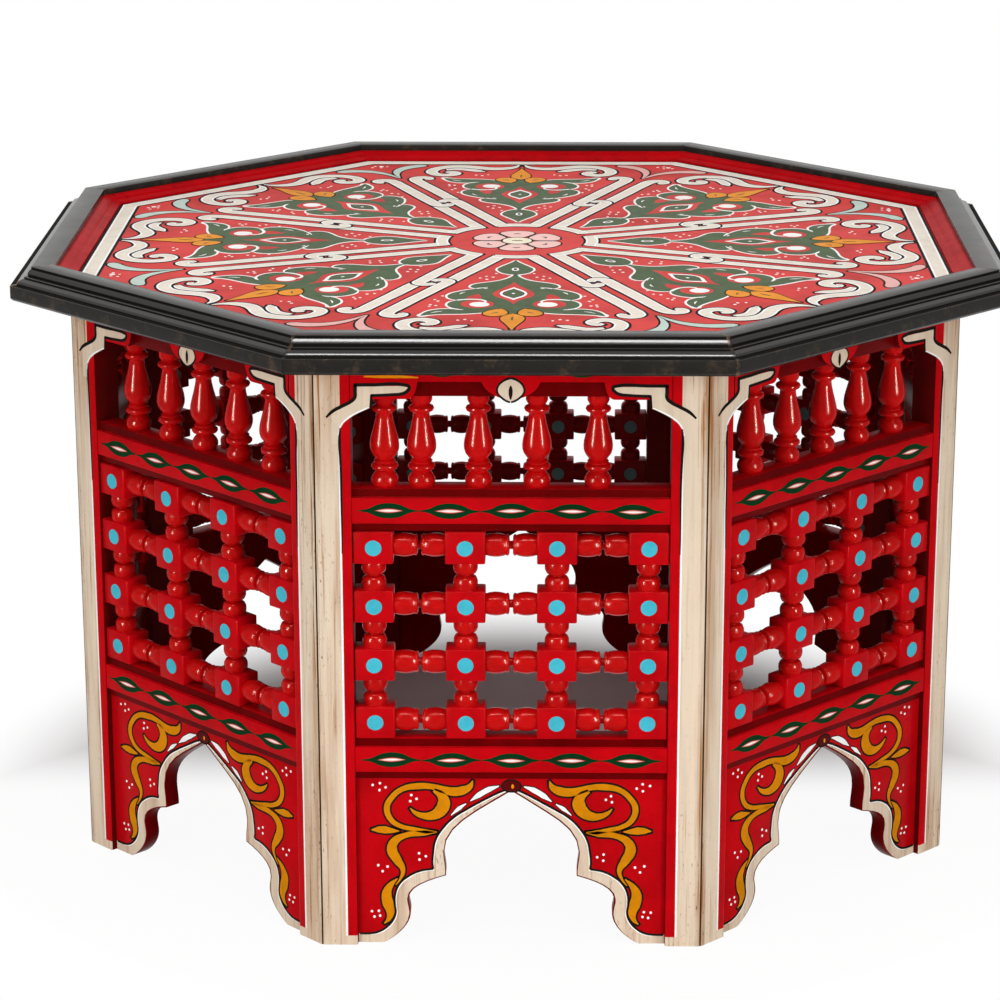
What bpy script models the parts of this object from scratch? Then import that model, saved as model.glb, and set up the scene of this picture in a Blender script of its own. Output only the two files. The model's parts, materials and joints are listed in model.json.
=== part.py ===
"""Octagonal coffee table with eight turned mashrabiya screens under a framed, painted top.

Every side is a frame of its own: two mitred stiles, a scalloped top rail, a gallery of balusters on
a middle rail, a lattice of blocks and beads, and an apron with a cusped arch. The side faces -Y in
its own frame: X runs along the side, Y inward from the outer face, Z up from the floor.
"""
import math

import bmesh
import bpy
from mathutils import Matrix, Vector

# Driving dimensions, in metres
SIDE_NAMES = ("front", "front_right", "right", "back_right", "back", "back_left", "left", "front_left")
BODY_ACROSS_FLATS = 0.666
JOINT_GAP = 0.0003
CURVE_STEPS = 5
SMOOTH_ANGLE = math.radians(40)
WELD_DISTANCE = 1e-6

STILE_WIDTH = 0.026
STILE_DEPTH = 0.022

APRON_HEIGHT = 0.1285
APRON_SETBACK = 0.005
APRON_THICKNESS = 0.012
BOARD_SIDE_GAP = 0.0006
ARCH_CROWN = 0.0095
ARCH_FOIL_HALF = 0.049
ARCH_FOIL_Z = 0.071
ARCH_CUSP_HALF = 0.0475
ARCH_CUSP_Z = 0.053
ARCH_SHOULDER_HALF = 0.0748
ARCH_SHOULDER_Z = 0.034
ARCH_ANKLE_HALF = 0.0735
ARCH_ANKLE_Z = 0.022
ARCH_FOOT_HALF = 0.093

RAIL_HEIGHT = 0.031
RAIL_FACE_HEIGHT = 0.019
RAIL_FACE_SETBACK = 0.001
RAIL_BORDER_SETBACK = 0.004
RAIL_BACK = 0.022
RAIL_LAP = 0.008

LATTICE_HEIGHT = 0.1555
LATTICE_COLUMNS = 4
LATTICE_ROWS = 4
BLOCK_WIDTH = 0.026
BLOCK_HEIGHT = 0.024
BLOCK_DEPTH = 0.019
BLOCK_SETBACK = 0.002
BEAD_RADIUS = 0.0078
BEAD_GROOVE_RADIUS = 0.0042
BEAD_SIDES = 6
TENON = 0.002

BALUSTER_HEIGHT = 0.067
BALUSTER_SETBACK = 0.0145
BALUSTER_PITCH = 0.039
BALUSTER_COUNT = 5
BALUSTER_SIDES = 6
BALUSTER_FOOT_RADIUS = 0.0080
BALUSTER_RING_RADIUS = 0.0078
BALUSTER_WAIST_RADIUS = 0.0050
BALUSTER_BELLY_RADIUS = 0.0090
BALUSTER_NECK_RADIUS = 0.0052
BALUSTER_COLLAR_RADIUS = 0.0074
FRONT_BALUSTERS = (-0.089, -0.063, -0.023, 0.018, 0.061)

TOP_BAR_HEIGHT = 0.026
TOP_BAR_BACK = 0.021
FASCIA_THICKNESS = 0.006
FASCIA_LAP = 0.002
FASCIA_HEIGHT = 0.0145
LOBE_DROP = 0.0270
LOBE_STEP_INSET = 0.0140
LOBE_INSET = 0.0395
LOBE_CURVE = 0.0075
CORNER_DROP = 0.0390
CORNER_RISE = 0.0335
PENDANT_HALF = 0.0205
PENDANT_DROP = 0.0275

PANEL_THICKNESS = 0.013
PANEL_REBATE = 0.0030
RIM_OVERHANG = 0.042
RIM_RISE = 0.0117
RIM_FLAT_INSET = 0.032
RIM_FLAT_WIDTH = 0.014
RIM_STEP = 0.0022
RIM_COVE_WIDTH = 0.0095
RIM_COVE_DROP = 0.0075
RIM_BEAD = 0.0020
RIM_BAND_ROUND = 0.0045
INNER_WALL = 0.0050
INNER_STEP = 0.0025
INNER_SLOPE_WIDTH = 0.0115
INNER_LIP = 0.0012
PANEL_TUCK = 0.0015

# Sizes and levels that follow from the driving dimensions
SIDES = len(SIDE_NAMES)
HALF_TURN = math.pi / SIDES
APOTHEM = BODY_ACROSS_FLATS / 2
HALF_SIDE = APOTHEM * math.tan(HALF_TURN)
OPENING_HALF = HALF_SIDE - STILE_WIDTH
FIT_HALF = OPENING_HALF - JOINT_GAP

LOWER_RAIL_Z = APRON_HEIGHT
LATTICE_Z = LOWER_RAIL_Z + RAIL_HEIGHT
MIDDLE_RAIL_Z = LATTICE_Z + LATTICE_HEIGHT
BALUSTER_Z = MIDDLE_RAIL_Z + RAIL_HEIGHT
TOP_BAR_Z = BALUSTER_Z + BALUSTER_HEIGHT + JOINT_GAP
BODY_HEIGHT = TOP_BAR_Z + TOP_BAR_HEIGHT

PANEL_Z = BODY_HEIGHT + JOINT_GAP
PANEL_TOP = PANEL_Z + PANEL_THICKNESS
RIM_TOP = PANEL_TOP + RIM_RISE
RIM_APOTHEM = APOTHEM + RIM_OVERHANG
RIM_INNER = RIM_APOTHEM - RIM_FLAT_INSET
PANEL_APOTHEM = RIM_INNER + PANEL_TUCK
LIP_APOTHEM = RIM_INNER - INNER_STEP - INNER_SLOPE_WIDTH
FIELD_APOTHEM = LIP_APOTHEM - JOINT_GAP
TONGUE_TOP = PANEL_TOP - PANEL_REBATE

# Colour, roughness and metallic value of each finish
FINISHES = {
    "cream_paint": ((0.74, 0.61, 0.43, 1.0), 0.5, 0.0),
    "red_lacquer": ((0.50, 0.010, 0.014, 1.0), 0.25, 0.0),
    "rose_paint": ((0.60, 0.07, 0.06, 1.0), 0.35, 0.0),
    "black_lacquer": ((0.028, 0.025, 0.022, 1.0), 0.35, 0.0),
}


def clear_scene():
    """Remove what the scene holds, so that the table stands alone."""
    for obj in list(bpy.data.objects):
        bpy.data.objects.remove(obj, do_unlink=True)


def new_collection(name):
    """A collection linked to the scene."""
    collection = bpy.data.collections.new(name)
    bpy.context.scene.collection.children.link(collection)
    return collection


def new_material(name):
    """A Principled material from the table of finishes."""
    colour, roughness, metallic = FINISHES[name]
    material = bpy.data.materials.new(name)
    material.use_nodes = True
    shader = material.node_tree.nodes["Principled BSDF"]
    shader.inputs["Base Color"].default_value = colour
    shader.inputs["Roughness"].default_value = roughness
    shader.inputs["Metallic"].default_value = metallic
    material.diffuse_color = colour
    return material


def bezier(start, leaving, arriving, end):
    """Points after start, up to end, of a cubic curve; its pulls are shares of the span in X and Y."""
    span = end - start
    first = start + span * Vector(leaving)
    second = end - span * Vector(arriving)
    points = []
    for step in range(1, CURVE_STEPS + 1):
        t = step / CURVE_STEPS
        s = 1 - t
        points.append(s ** 3 * start + 3 * s * s * t * first + 3 * s * t * t * second + t ** 3 * end)
    return points


def mirrored_outline(half):
    """Close an outline whose left half starts on the middle line and ends at its upper corner."""
    right = [Vector((-p.x, p.y)) for p in reversed(half[1:])]
    return half + right


def baked(obj, matrix=None):
    """The evaluated mesh of a working object, welded and placed, with the object removed."""
    bpy.context.view_layer.update()
    evaluated = obj.evaluated_get(bpy.context.evaluated_depsgraph_get())
    mesh = bpy.data.meshes.new_from_object(evaluated)
    bpy.data.objects.remove(obj, do_unlink=True)
    work = bmesh.new()
    work.from_mesh(mesh)
    bmesh.ops.remove_doubles(work, verts=work.verts, dist=WELD_DISTANCE)
    if matrix is not None:
        bmesh.ops.transform(work, matrix=matrix, verts=work.verts)
    bmesh.ops.recalc_face_normals(work, faces=work.faces)
    work.to_mesh(mesh)
    work.free()
    return mesh


def extruded(outline, length, matrix, tools):
    """A flat outline given a thickness along its own Z, starting at zero, then placed."""
    curve = bpy.data.curves.new("outline", "CURVE")
    curve.dimensions = "2D"
    curve.fill_mode = "BOTH"
    curve.extrude = length / 2
    spline = curve.splines.new("POLY")
    spline.points.add(len(outline) - 1)
    for point, place in zip(spline.points, outline):
        point.co = (place.x, place.y, 0, 1)
    spline.use_cyclic_u = True
    obj = bpy.data.objects.new("outline", curve)
    tools.objects.link(obj)
    return baked(obj, matrix @ Matrix.Translation((0, 0, length / 2)))


def facing_matrix(setback):
    """Stand an outline drawn in X and Z upright, with its thickness running inward."""
    turn = Matrix(((1, 0, 0, 0), (0, 0, 1, 0), (0, 1, 0, 0), (0, 0, 0, 1)))
    return Matrix.Translation((0, setback, 0)) @ turn


def along_matrix(start):
    """Lay a section drawn in Y and Z along X, from the given place."""
    turn = Matrix(((0, 0, 1, 0), (1, 0, 0, 0), (0, 1, 0, 0), (0, 0, 0, 1)))
    return Matrix.Translation((start, 0, 0)) @ turn


def turned(profile, sides, tools):
    """A turned solid about Z from radius and height pairs that run from top to bottom."""
    mesh = bpy.data.meshes.new("profile")
    places = [(radius, 0, height) for radius, height in profile]
    mesh.from_pydata(places, [(i, i + 1) for i in range(len(places) - 1)], [])
    obj = bpy.data.objects.new("profile", mesh)
    tools.objects.link(obj)
    screw = obj.modifiers.new("turn", "SCREW")
    screw.axis = "Z"
    screw.angle = 2 * math.pi
    screw.steps = sides
    screw.render_steps = sides
    screw.use_merge_vertices = True
    screw.merge_threshold = WELD_DISTANCE
    return baked(obj)


def box(size, centre):
    """A box from the cube primitive, with its scale in the mesh."""
    mesh = bpy.data.meshes.new("box")
    work = bmesh.new()
    bmesh.ops.create_cube(work, size=1.0)
    bmesh.ops.scale(work, vec=size, verts=work.verts)
    bmesh.ops.translate(work, vec=centre, verts=work.verts)
    work.to_mesh(mesh)
    work.free()
    return mesh


def united(meshes_and_places, tools):
    """One closed body from overlapping meshes, each with its placing matrix."""
    first_mesh, first_place = meshes_and_places[0]
    base = bpy.data.objects.new("base", first_mesh)
    base.matrix_world = first_place
    tools.objects.link(base)
    group = bpy.data.collections.new("joined")
    tools.children.link(group)
    for mesh, place in meshes_and_places[1:]:
        joined = bpy.data.objects.new("joined", mesh)
        joined.matrix_world = place
        group.objects.link(joined)
    union = base.modifiers.new("union", "BOOLEAN")
    union.operation = "UNION"
    union.operand_type = "COLLECTION"
    union.collection = group
    union.solver = "EXACT"
    mesh = baked(base, first_place)
    for joined in list(group.objects):
        bpy.data.objects.remove(joined, do_unlink=True)
    bpy.data.collections.remove(group)
    return mesh


def stile_mesh(tools):
    """The right-hand stile: a board whose outer edge is mitred to meet the next side's stile."""
    half_joint = JOINT_GAP / 2 / math.cos(HALF_TURN)
    front_edge = HALF_SIDE - half_joint
    back_edge = (APOTHEM - STILE_DEPTH) * math.tan(HALF_TURN) - half_joint
    section = [
        Vector((OPENING_HALF, 0)),
        Vector((front_edge, 0)),
        Vector((back_edge, STILE_DEPTH)),
        Vector((OPENING_HALF, STILE_DEPTH)),
    ]
    return extruded(section, BODY_HEIGHT, Matrix.Identity(4), tools)


def rail_mesh(base_z, tools):
    """A rail with a raised face between two set-back borders, laid between the stiles."""
    border = (RAIL_HEIGHT - RAIL_FACE_HEIGHT) / 2
    bottom = base_z + JOINT_GAP
    top = base_z + RAIL_HEIGHT
    section = [
        Vector((RAIL_BACK, bottom)),
        Vector((RAIL_BORDER_SETBACK, bottom)),
        Vector((RAIL_BORDER_SETBACK, base_z + border)),
        Vector((RAIL_FACE_SETBACK, base_z + border)),
        Vector((RAIL_FACE_SETBACK, top - border)),
        Vector((RAIL_BORDER_SETBACK, top - border)),
        Vector((RAIL_BORDER_SETBACK, top)),
        Vector((RAIL_BACK, top)),
    ]
    return extruded(section, 2 * FIT_HALF, along_matrix(-FIT_HALF), tools)


def arch_half():
    """Left half of the apron's outline: the cusped arch from its apex, the foot and the side."""
    apex = Vector((0, APRON_HEIGHT - ARCH_CROWN))
    foil = Vector((-ARCH_FOIL_HALF, ARCH_FOIL_Z))
    cusp = Vector((-ARCH_CUSP_HALF, ARCH_CUSP_Z))
    shoulder = Vector((-ARCH_SHOULDER_HALF, ARCH_SHOULDER_Z))
    ankle = Vector((-ARCH_ANKLE_HALF, ARCH_ANKLE_Z))
    foot = Vector((-ARCH_FOOT_HALF, 0))
    edge = -(FIT_HALF - BOARD_SIDE_GAP)
    half = [apex]
    half += bezier(apex, (0.55, 0.36), (0, 0.42), foil)
    half += bezier(foil, (0, 0.33), (-0.33, 0.33), cusp)
    half += bezier(cusp, (0.5, 0.21), (0, 0.53), shoulder)
    half += bezier(shoulder, (0, 0.33), (-0.46, 0.33), ankle)
    half += bezier(ankle, (0.05, 0.41), (0.41, 0.18), foot)
    half += [Vector((edge, 0)), Vector((edge, APRON_HEIGHT + RAIL_LAP))]
    return half


def apron_mesh(tools):
    """The arched board and the lower rail that it hangs from."""
    outline = mirrored_outline(arch_half())
    board = extruded(outline, APRON_THICKNESS, facing_matrix(APRON_SETBACK), tools)
    rail = rail_mesh(LOWER_RAIL_Z, tools)
    identity = Matrix.Identity(4)
    return united([(rail, identity), (board, identity)], tools)


def spindle_mesh(length, tools):
    """Two beads with a groove between them, with a tenon's length in the block at either end."""
    half = length / 2
    profile = [
        (0, half + TENON),
        (BEAD_RADIUS, half + TENON),
        (BEAD_GROOVE_RADIUS, 0),
        (BEAD_RADIUS, -half - TENON),
        (0, -half - TENON),
    ]
    return turned(profile, BEAD_SIDES, tools)


def lattice_mesh(tools):
    """The screen: a grid of square blocks joined by beaded spindles along rows and columns."""
    width = 2 * FIT_HALF
    bottom = LATTICE_Z + JOINT_GAP
    height = LATTICE_HEIGHT - JOINT_GAP
    column_pitch = (width - BLOCK_WIDTH) / (LATTICE_COLUMNS - 1)
    row_pitch = (height - BLOCK_HEIGHT) / (LATTICE_ROWS - 1)
    columns = [-FIT_HALF + BLOCK_WIDTH / 2 + i * column_pitch for i in range(LATTICE_COLUMNS)]
    rows = [bottom + BLOCK_HEIGHT / 2 + i * row_pitch for i in range(LATTICE_ROWS)]
    depth = BLOCK_SETBACK + BLOCK_DEPTH / 2
    block = box((BLOCK_WIDTH, BLOCK_DEPTH, BLOCK_HEIGHT), (0, 0, 0))
    level = spindle_mesh(column_pitch - BLOCK_WIDTH, tools)
    upright = spindle_mesh(row_pitch - BLOCK_HEIGHT, tools)
    lay = Matrix.Rotation(math.pi / 2, 4, "Y")
    pieces = []
    for z in rows:
        for x in columns:
            pieces.append((block, Matrix.Translation((x, depth, z))))
        for x in columns[:-1]:
            pieces.append((level, Matrix.Translation((x + column_pitch / 2, depth, z)) @ lay))
    for z in rows[:-1]:
        for x in columns:
            pieces.append((upright, Matrix.Translation((x, depth, z + row_pitch / 2))))
    return united(pieces, tools)


def baluster_mesh(tools):
    """A turned baluster: ball foot, ring, vase, neck and collar, with a tenon below."""
    tall = BALUSTER_HEIGHT
    profile = [
        (0, tall),
        (BALUSTER_COLLAR_RADIUS, tall),
        (BALUSTER_NECK_RADIUS, tall * 0.90),
        (BALUSTER_RING_RADIUS, tall * 0.84),
        (BALUSTER_NECK_RADIUS, tall * 0.77),
        (BALUSTER_BELLY_RADIUS, tall * 0.46),
        (BALUSTER_WAIST_RADIUS, tall * 0.29),
        (BALUSTER_RING_RADIUS, tall * 0.235),
        (BALUSTER_WAIST_RADIUS, tall * 0.18),
        (BALUSTER_FOOT_RADIUS, tall * 0.09),
        (BALUSTER_WAIST_RADIUS, 0),
        (BALUSTER_WAIST_RADIUS, -TENON),
        (0, -TENON),
    ]
    return turned(profile, BALUSTER_SIDES, tools)


def gallery_mesh(places, tools):
    """The middle rail with its row of balusters."""
    baluster = baluster_mesh(tools)
    rail = rail_mesh(MIDDLE_RAIL_Z, tools)
    pieces = [(rail, Matrix.Identity(4))]
    for x in places:
        pieces.append((baluster, Matrix.Translation((x, BALUSTER_SETBACK, BALUSTER_Z))))
    return united(pieces, tools)


def fascia_half():
    """Left half of the top rail's outline: pendant, straight run, stepped lobe and corner."""
    top = BODY_HEIGHT
    straight = top - FASCIA_HEIGHT
    tip = Vector((0, top - PENDANT_DROP))
    pendant = Vector((-PENDANT_HALF, straight))
    lobe_end = Vector((-(FIT_HALF - LOBE_INSET), top - LOBE_DROP))
    lobe_start = lobe_end + Vector((LOBE_CURVE, LOBE_DROP - FASCIA_HEIGHT))
    step_top = Vector((-(FIT_HALF - LOBE_STEP_INSET), top - LOBE_DROP))
    step_foot = Vector((step_top.x, top - CORNER_RISE))
    corner = Vector((-FIT_HALF, top - CORNER_DROP))
    half = [tip]
    half += bezier(tip, (0.45, 0.08), (0.15, 0.62), pendant)
    half += [lobe_start]
    half += bezier(lobe_start, (0.13, 0.48), (0.67, 0), lobe_end)
    half += [step_top, step_foot]
    half += bezier(step_foot, (0.36, 0.27), (0.29, 0.55), corner)
    half += [Vector((-FIT_HALF, top))]
    return half


def top_rail_mesh(tools):
    """The scalloped fascia with the bar behind it that takes the baluster tops."""
    bar_front = FASCIA_THICKNESS - FASCIA_LAP
    bar_depth = TOP_BAR_BACK - bar_front
    bar_half = FIT_HALF - BOARD_SIDE_GAP
    bar_top = BODY_HEIGHT - FASCIA_LAP
    bar_size = (2 * bar_half, bar_depth, bar_top - TOP_BAR_Z)
    bar = box(bar_size, (0, bar_front + bar_depth / 2, (TOP_BAR_Z + bar_top) / 2))
    outline = mirrored_outline(fascia_half())
    fascia = extruded(outline, FASCIA_THICKNESS, facing_matrix(0), tools)
    identity = Matrix.Identity(4)
    return united([(fascia, identity), (bar, identity)], tools)


def panel_mesh():
    """The octagonal board of the top, with a rebate round its field that the rim sits in."""
    mesh = bpy.data.meshes.new("top_panel")
    radius = PANEL_APOTHEM / math.cos(HALF_TURN)
    work = bmesh.new()
    tongue = TONGUE_TOP - PANEL_Z
    place = Matrix.Translation((0, 0, PANEL_Z + tongue / 2)) @ Matrix.Rotation(HALF_TURN, 4, "Z")
    bmesh.ops.create_cone(work, cap_ends=True, segments=SIDES, radius1=radius, radius2=radius,
                          depth=tongue, matrix=place)
    field = max(work.faces, key=lambda face: face.calc_center_median().z)
    bmesh.ops.inset_region(work, faces=[field], thickness=PANEL_APOTHEM - FIELD_APOTHEM,
                           use_even_offset=True)
    raised = bmesh.ops.extrude_face_region(work, geom=[field])["geom"]
    bmesh.ops.delete(work, geom=[field], context="FACES_ONLY")
    corners = [part for part in raised if isinstance(part, bmesh.types.BMVert)]
    bmesh.ops.translate(work, vec=(0, 0, PANEL_REBATE), verts=corners)
    bmesh.ops.recalc_face_normals(work, faces=work.faces)
    work.to_mesh(mesh)
    work.free()
    return mesh


def rim_section():
    """The rim's section as distance from the table's axis, square to the side, and height."""
    edge = PANEL_APOTHEM + JOINT_GAP
    seat = TONGUE_TOP + JOINT_GAP
    step_x = RIM_INNER - INNER_STEP
    flat_end = RIM_INNER + RIM_FLAT_WIDTH
    cove_top = Vector((flat_end, RIM_TOP - RIM_STEP))
    cove_end = Vector((flat_end + RIM_COVE_WIDTH, RIM_TOP - RIM_STEP - RIM_COVE_DROP))
    band_top = Vector((RIM_APOTHEM, cove_end.y - RIM_BEAD - RIM_BAND_ROUND))
    band_low = Vector((RIM_APOTHEM, PANEL_Z + RIM_BAND_ROUND))
    under = Vector((RIM_APOTHEM - RIM_BAND_ROUND, PANEL_Z))
    section = [
        Vector((edge, PANEL_Z)),
        Vector((edge, seat)),
        Vector((LIP_APOTHEM, seat)),
        Vector((LIP_APOTHEM, PANEL_TOP + JOINT_GAP + INNER_LIP)),
        Vector((step_x, RIM_TOP - INNER_WALL)),
        Vector((RIM_INNER, RIM_TOP - INNER_WALL)),
        Vector((RIM_INNER, RIM_TOP)),
        Vector((flat_end, RIM_TOP)),
        cove_top,
    ]
    section += bezier(cove_top, (0.05, 0.53), (0.53, 0), cove_end)
    section += [cove_end - Vector((0, RIM_BEAD))]
    section += bezier(section[-1], (0.24, 0), (0, 0.44), band_top)
    section += [band_low, under]
    return section


def rim_mesh():
    """One mitred moulding of the rim: its section swept from one corner's plane to the next."""
    mesh = bpy.data.meshes.new("rim_moulding")
    work = bmesh.new()
    stretch = 1 / math.cos(HALF_TURN)
    corners = [work.verts.new((p.x * stretch, 0, p.y)) for p in rim_section()]
    face = work.faces.new(corners)
    joint_turn = JOINT_GAP / 2 / RIM_APOTHEM
    start = -math.pi / 2 - HALF_TURN + joint_turn
    bmesh.ops.rotate(work, verts=work.verts, cent=(0, 0, 0), matrix=Matrix.Rotation(start, 3, "Z"))
    bmesh.ops.spin(work, geom=[face] + list(face.edges) + list(face.verts), cent=(0, 0, 0),
                   axis=(0, 0, 1), angle=2 * (HALF_TURN - joint_turn), steps=1)
    bmesh.ops.recalc_face_normals(work, faces=work.faces)
    work.to_mesh(mesh)
    work.free()
    return mesh


def mirrored_mesh(mesh):
    """The left-hand twin of a right-hand mesh."""
    twin = mesh.copy()
    work = bmesh.new()
    work.from_mesh(twin)
    bmesh.ops.scale(work, vec=(-1, 1, 1), verts=work.verts)
    bmesh.ops.reverse_faces(work, faces=work.faces)
    work.to_mesh(twin)
    work.free()
    return twin


def finish_mesh(mesh, material):
    """Give a mesh its finish, smooth across its round stretches and sharp at its corners."""
    mesh.materials.clear()
    mesh.materials.append(material)
    mesh.shade_smooth()
    mesh.set_sharp_from_angle(angle=SMOOTH_ANGLE)
    return mesh


def add_part(name, mesh, parent, offset, table):
    """A named piece of the table, placed under its side's frame."""
    obj = bpy.data.objects.new(name, mesh)
    obj.parent = parent
    obj.location = offset
    table.objects.link(obj)
    return obj


def baluster_places(side):
    """Places of the balusters along a side: even, but as they stand on the front."""
    if side == "front":
        return FRONT_BALUSTERS
    first = -BALUSTER_PITCH * (BALUSTER_COUNT - 1) / 2
    return tuple(first + i * BALUSTER_PITCH for i in range(BALUSTER_COUNT))


def build_table():
    """Model each kind of piece once, then set the copies round the eight sides."""
    clear_scene()
    table = new_collection("mashrabiya_coffee_table")
    tools = new_collection("tools")
    finishes = {name: new_material(name) for name in FINISHES}
    cream = finishes["cream_paint"]
    red = finishes["red_lacquer"]

    stile_right = finish_mesh(stile_mesh(tools), cream)
    stile_left = finish_mesh(mirrored_mesh(stile_right), cream)
    apron = finish_mesh(apron_mesh(tools), red)
    lattice = finish_mesh(lattice_mesh(tools), red)
    top_rail = finish_mesh(top_rail_mesh(tools), red)
    even_gallery = finish_mesh(gallery_mesh(baluster_places("even"), tools), red)
    front_gallery = finish_mesh(gallery_mesh(baluster_places("front"), tools), red)
    rim = finish_mesh(rim_mesh(), finishes["black_lacquer"])
    panel = finish_mesh(panel_mesh(), finishes["rose_paint"])

    outer_face = (0, -APOTHEM, 0)
    for index, side in enumerate(SIDE_NAMES):
        frame = bpy.data.objects.new(side + "_frame", None)
        frame.rotation_euler = (0, 0, 2 * HALF_TURN * index)
        table.objects.link(frame)
        gallery = front_gallery if side == "front" else even_gallery
        add_part(side + "_stile_left", stile_left, frame, outer_face, table)
        add_part(side + "_stile_right", stile_right, frame, outer_face, table)
        add_part(side + "_apron", apron, frame, outer_face, table)
        add_part(side + "_lattice", lattice, frame, outer_face, table)
        add_part(side + "_baluster_gallery", gallery, frame, outer_face, table)
        add_part(side + "_top_rail", top_rail, frame, outer_face, table)
        add_part(side + "_rim_moulding", rim, frame, (0, 0, 0), table)
    add_part("top_panel", panel, None, (0, 0, 0), table)
    bpy.data.collections.remove(tools)
    bpy.context.view_layer.update()


build_table()
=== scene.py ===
"""Mashrabiya coffee table: turned, joined and hand-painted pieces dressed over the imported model."""

import json
import math

import bmesh
import bpy
from mathutils import Matrix, Vector, noise

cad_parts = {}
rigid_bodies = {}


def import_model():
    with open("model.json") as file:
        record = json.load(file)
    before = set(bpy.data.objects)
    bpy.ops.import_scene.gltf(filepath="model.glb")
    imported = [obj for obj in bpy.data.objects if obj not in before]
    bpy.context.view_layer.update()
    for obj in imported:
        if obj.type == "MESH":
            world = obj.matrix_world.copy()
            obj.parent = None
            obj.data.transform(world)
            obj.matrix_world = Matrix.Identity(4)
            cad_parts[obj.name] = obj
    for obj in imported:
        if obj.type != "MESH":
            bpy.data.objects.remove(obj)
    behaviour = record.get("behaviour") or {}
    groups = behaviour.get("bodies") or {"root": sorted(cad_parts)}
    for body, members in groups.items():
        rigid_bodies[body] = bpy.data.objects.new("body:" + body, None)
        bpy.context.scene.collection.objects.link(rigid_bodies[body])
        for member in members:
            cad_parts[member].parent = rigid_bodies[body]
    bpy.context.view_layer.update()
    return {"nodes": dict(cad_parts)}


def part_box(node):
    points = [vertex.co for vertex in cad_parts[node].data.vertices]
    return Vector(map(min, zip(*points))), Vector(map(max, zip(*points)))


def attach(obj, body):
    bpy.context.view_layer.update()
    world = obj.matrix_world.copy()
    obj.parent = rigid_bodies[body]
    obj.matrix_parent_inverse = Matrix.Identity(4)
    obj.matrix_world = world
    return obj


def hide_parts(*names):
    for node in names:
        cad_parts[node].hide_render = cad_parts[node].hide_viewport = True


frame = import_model()

bl_info = {
    "name": "Mashrabiya coffee table",
    "version": (1, 0, 0),
    "blender": (4, 5, 0),
    "location": "View3D > Sidebar > Coffee table",
    "description": "Dresses an octagonal table with turned screens, mouldings and painted ornament",
    "category": "Object",
}

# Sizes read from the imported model, in metres
SIDES = ("front", "front_right", "right", "back_right", "back", "back_left", "left", "front_left")
BODY_APOTHEM = -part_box("front_stile_left")[0].y
BODY_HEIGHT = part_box("front_stile_left")[1].z
STILE_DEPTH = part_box("front_stile_left")[1].y + BODY_APOTHEM
OPENING_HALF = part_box("front_stile_right")[0].x
FIT_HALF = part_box("front_apron")[1].x
SNUG_HALF = OPENING_HALF - 0.00003
APRON_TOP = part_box("front_apron")[1].z
SCREEN_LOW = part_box("front_lattice")[0].z
SCREEN_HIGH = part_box("front_lattice")[1].z
GALLERY_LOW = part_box("front_baluster_gallery")[0].z
GALLERY_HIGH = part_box("front_baluster_gallery")[1].z
RIM_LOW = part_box("front_rim_moulding")[0].z
RIM_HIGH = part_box("front_rim_moulding")[1].z
PANEL_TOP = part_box("top_panel")[1].z
EIGHTH = math.radians(45.0)
MITRE = math.tan(EIGHTH / 2)
HALF_SIDE = BODY_APOTHEM * MITRE
JOINT = 0.00001

# Sizes of the joinery and its setbacks behind the outer face, in metres
APRON_SETBACK = 0.005
APRON_THICKNESS = 0.012
APRON_LAP = 0.023
RAIL_HEIGHT = 0.031
RAIL_FACE = 0.019
RAIL_FACE_SETBACK = 0.001
RAIL_BORDER_SETBACK = 0.004
RAIL_BACK = 0.022
BLOCK_SETBACK = 0.002
BLOCK_WIDTH = 0.0284
BLOCK_DEPTH = 0.019
BLOCK_HEIGHT = 0.0238
BLOCK_MARGIN = 0.012
BALUSTER_SETBACK = 0.0145
BALUSTER_HEIGHT = 0.067
FASCIA_THICKNESS = 0.006
BAR_DEPTH = 0.0165
BAR_MIDDLE = 0.01275
BAR_GAP = 0.0005

# Heights of the paint films above the wood, in millimetres
SUNK = -0.06
UNDER_LINE = 0.10
UNDER_PAINT = 0.14
OVER_LINE = 0.18
OVER_PAINT = 0.22
DETAIL = 0.26
FINE = 0.30

# Fixes the wander of the brush, which would otherwise change from run to run
HAND_SEED = 1

# Heights of a band's outline, its white edge and its cream, and how wide the white edge is
UNDER_BAND = (0.10, 0.13, 0.16)
OVER_BAND = (0.20, 0.23, 0.26)
BRIDGE_BAND = (0.08, 0.29, 0.32)
WHITE_EDGE = 1.4

# Sizes of the top's ornament: two drawings' scales, and the border's white edge in metres
ORNAMENT_SIZE = 1.02
BRACKET_SIZE = 1.05
BORDER_WHITE = 0.0016

# Finishes of the pieces that have several
BAND = ("ivory", "line", "white")
RAIL = ("joinery_red", "red_recess_shade")
STILE = ("cream", "white", "maroon_and_shade", "joinery_red", "cream_worn", "seam")
RIM = ("rim_black", "rim_rubbed", "cove_red", "rim_polished", "rim_groove_shade", "rim_corner")


def colour(label, words, value):
    """A linear colour that a user may change."""
    return bpy.props.FloatVectorProperty(
        name=label, description=words, subtype="COLOR", size=3, min=0.0, max=1.0, default=value
    )


def length(label, words, value):
    """A length that a user may change."""
    return bpy.props.FloatProperty(
        name=label, description=words, subtype="DISTANCE", unit="LENGTH", min=0.0, default=value
    )


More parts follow.
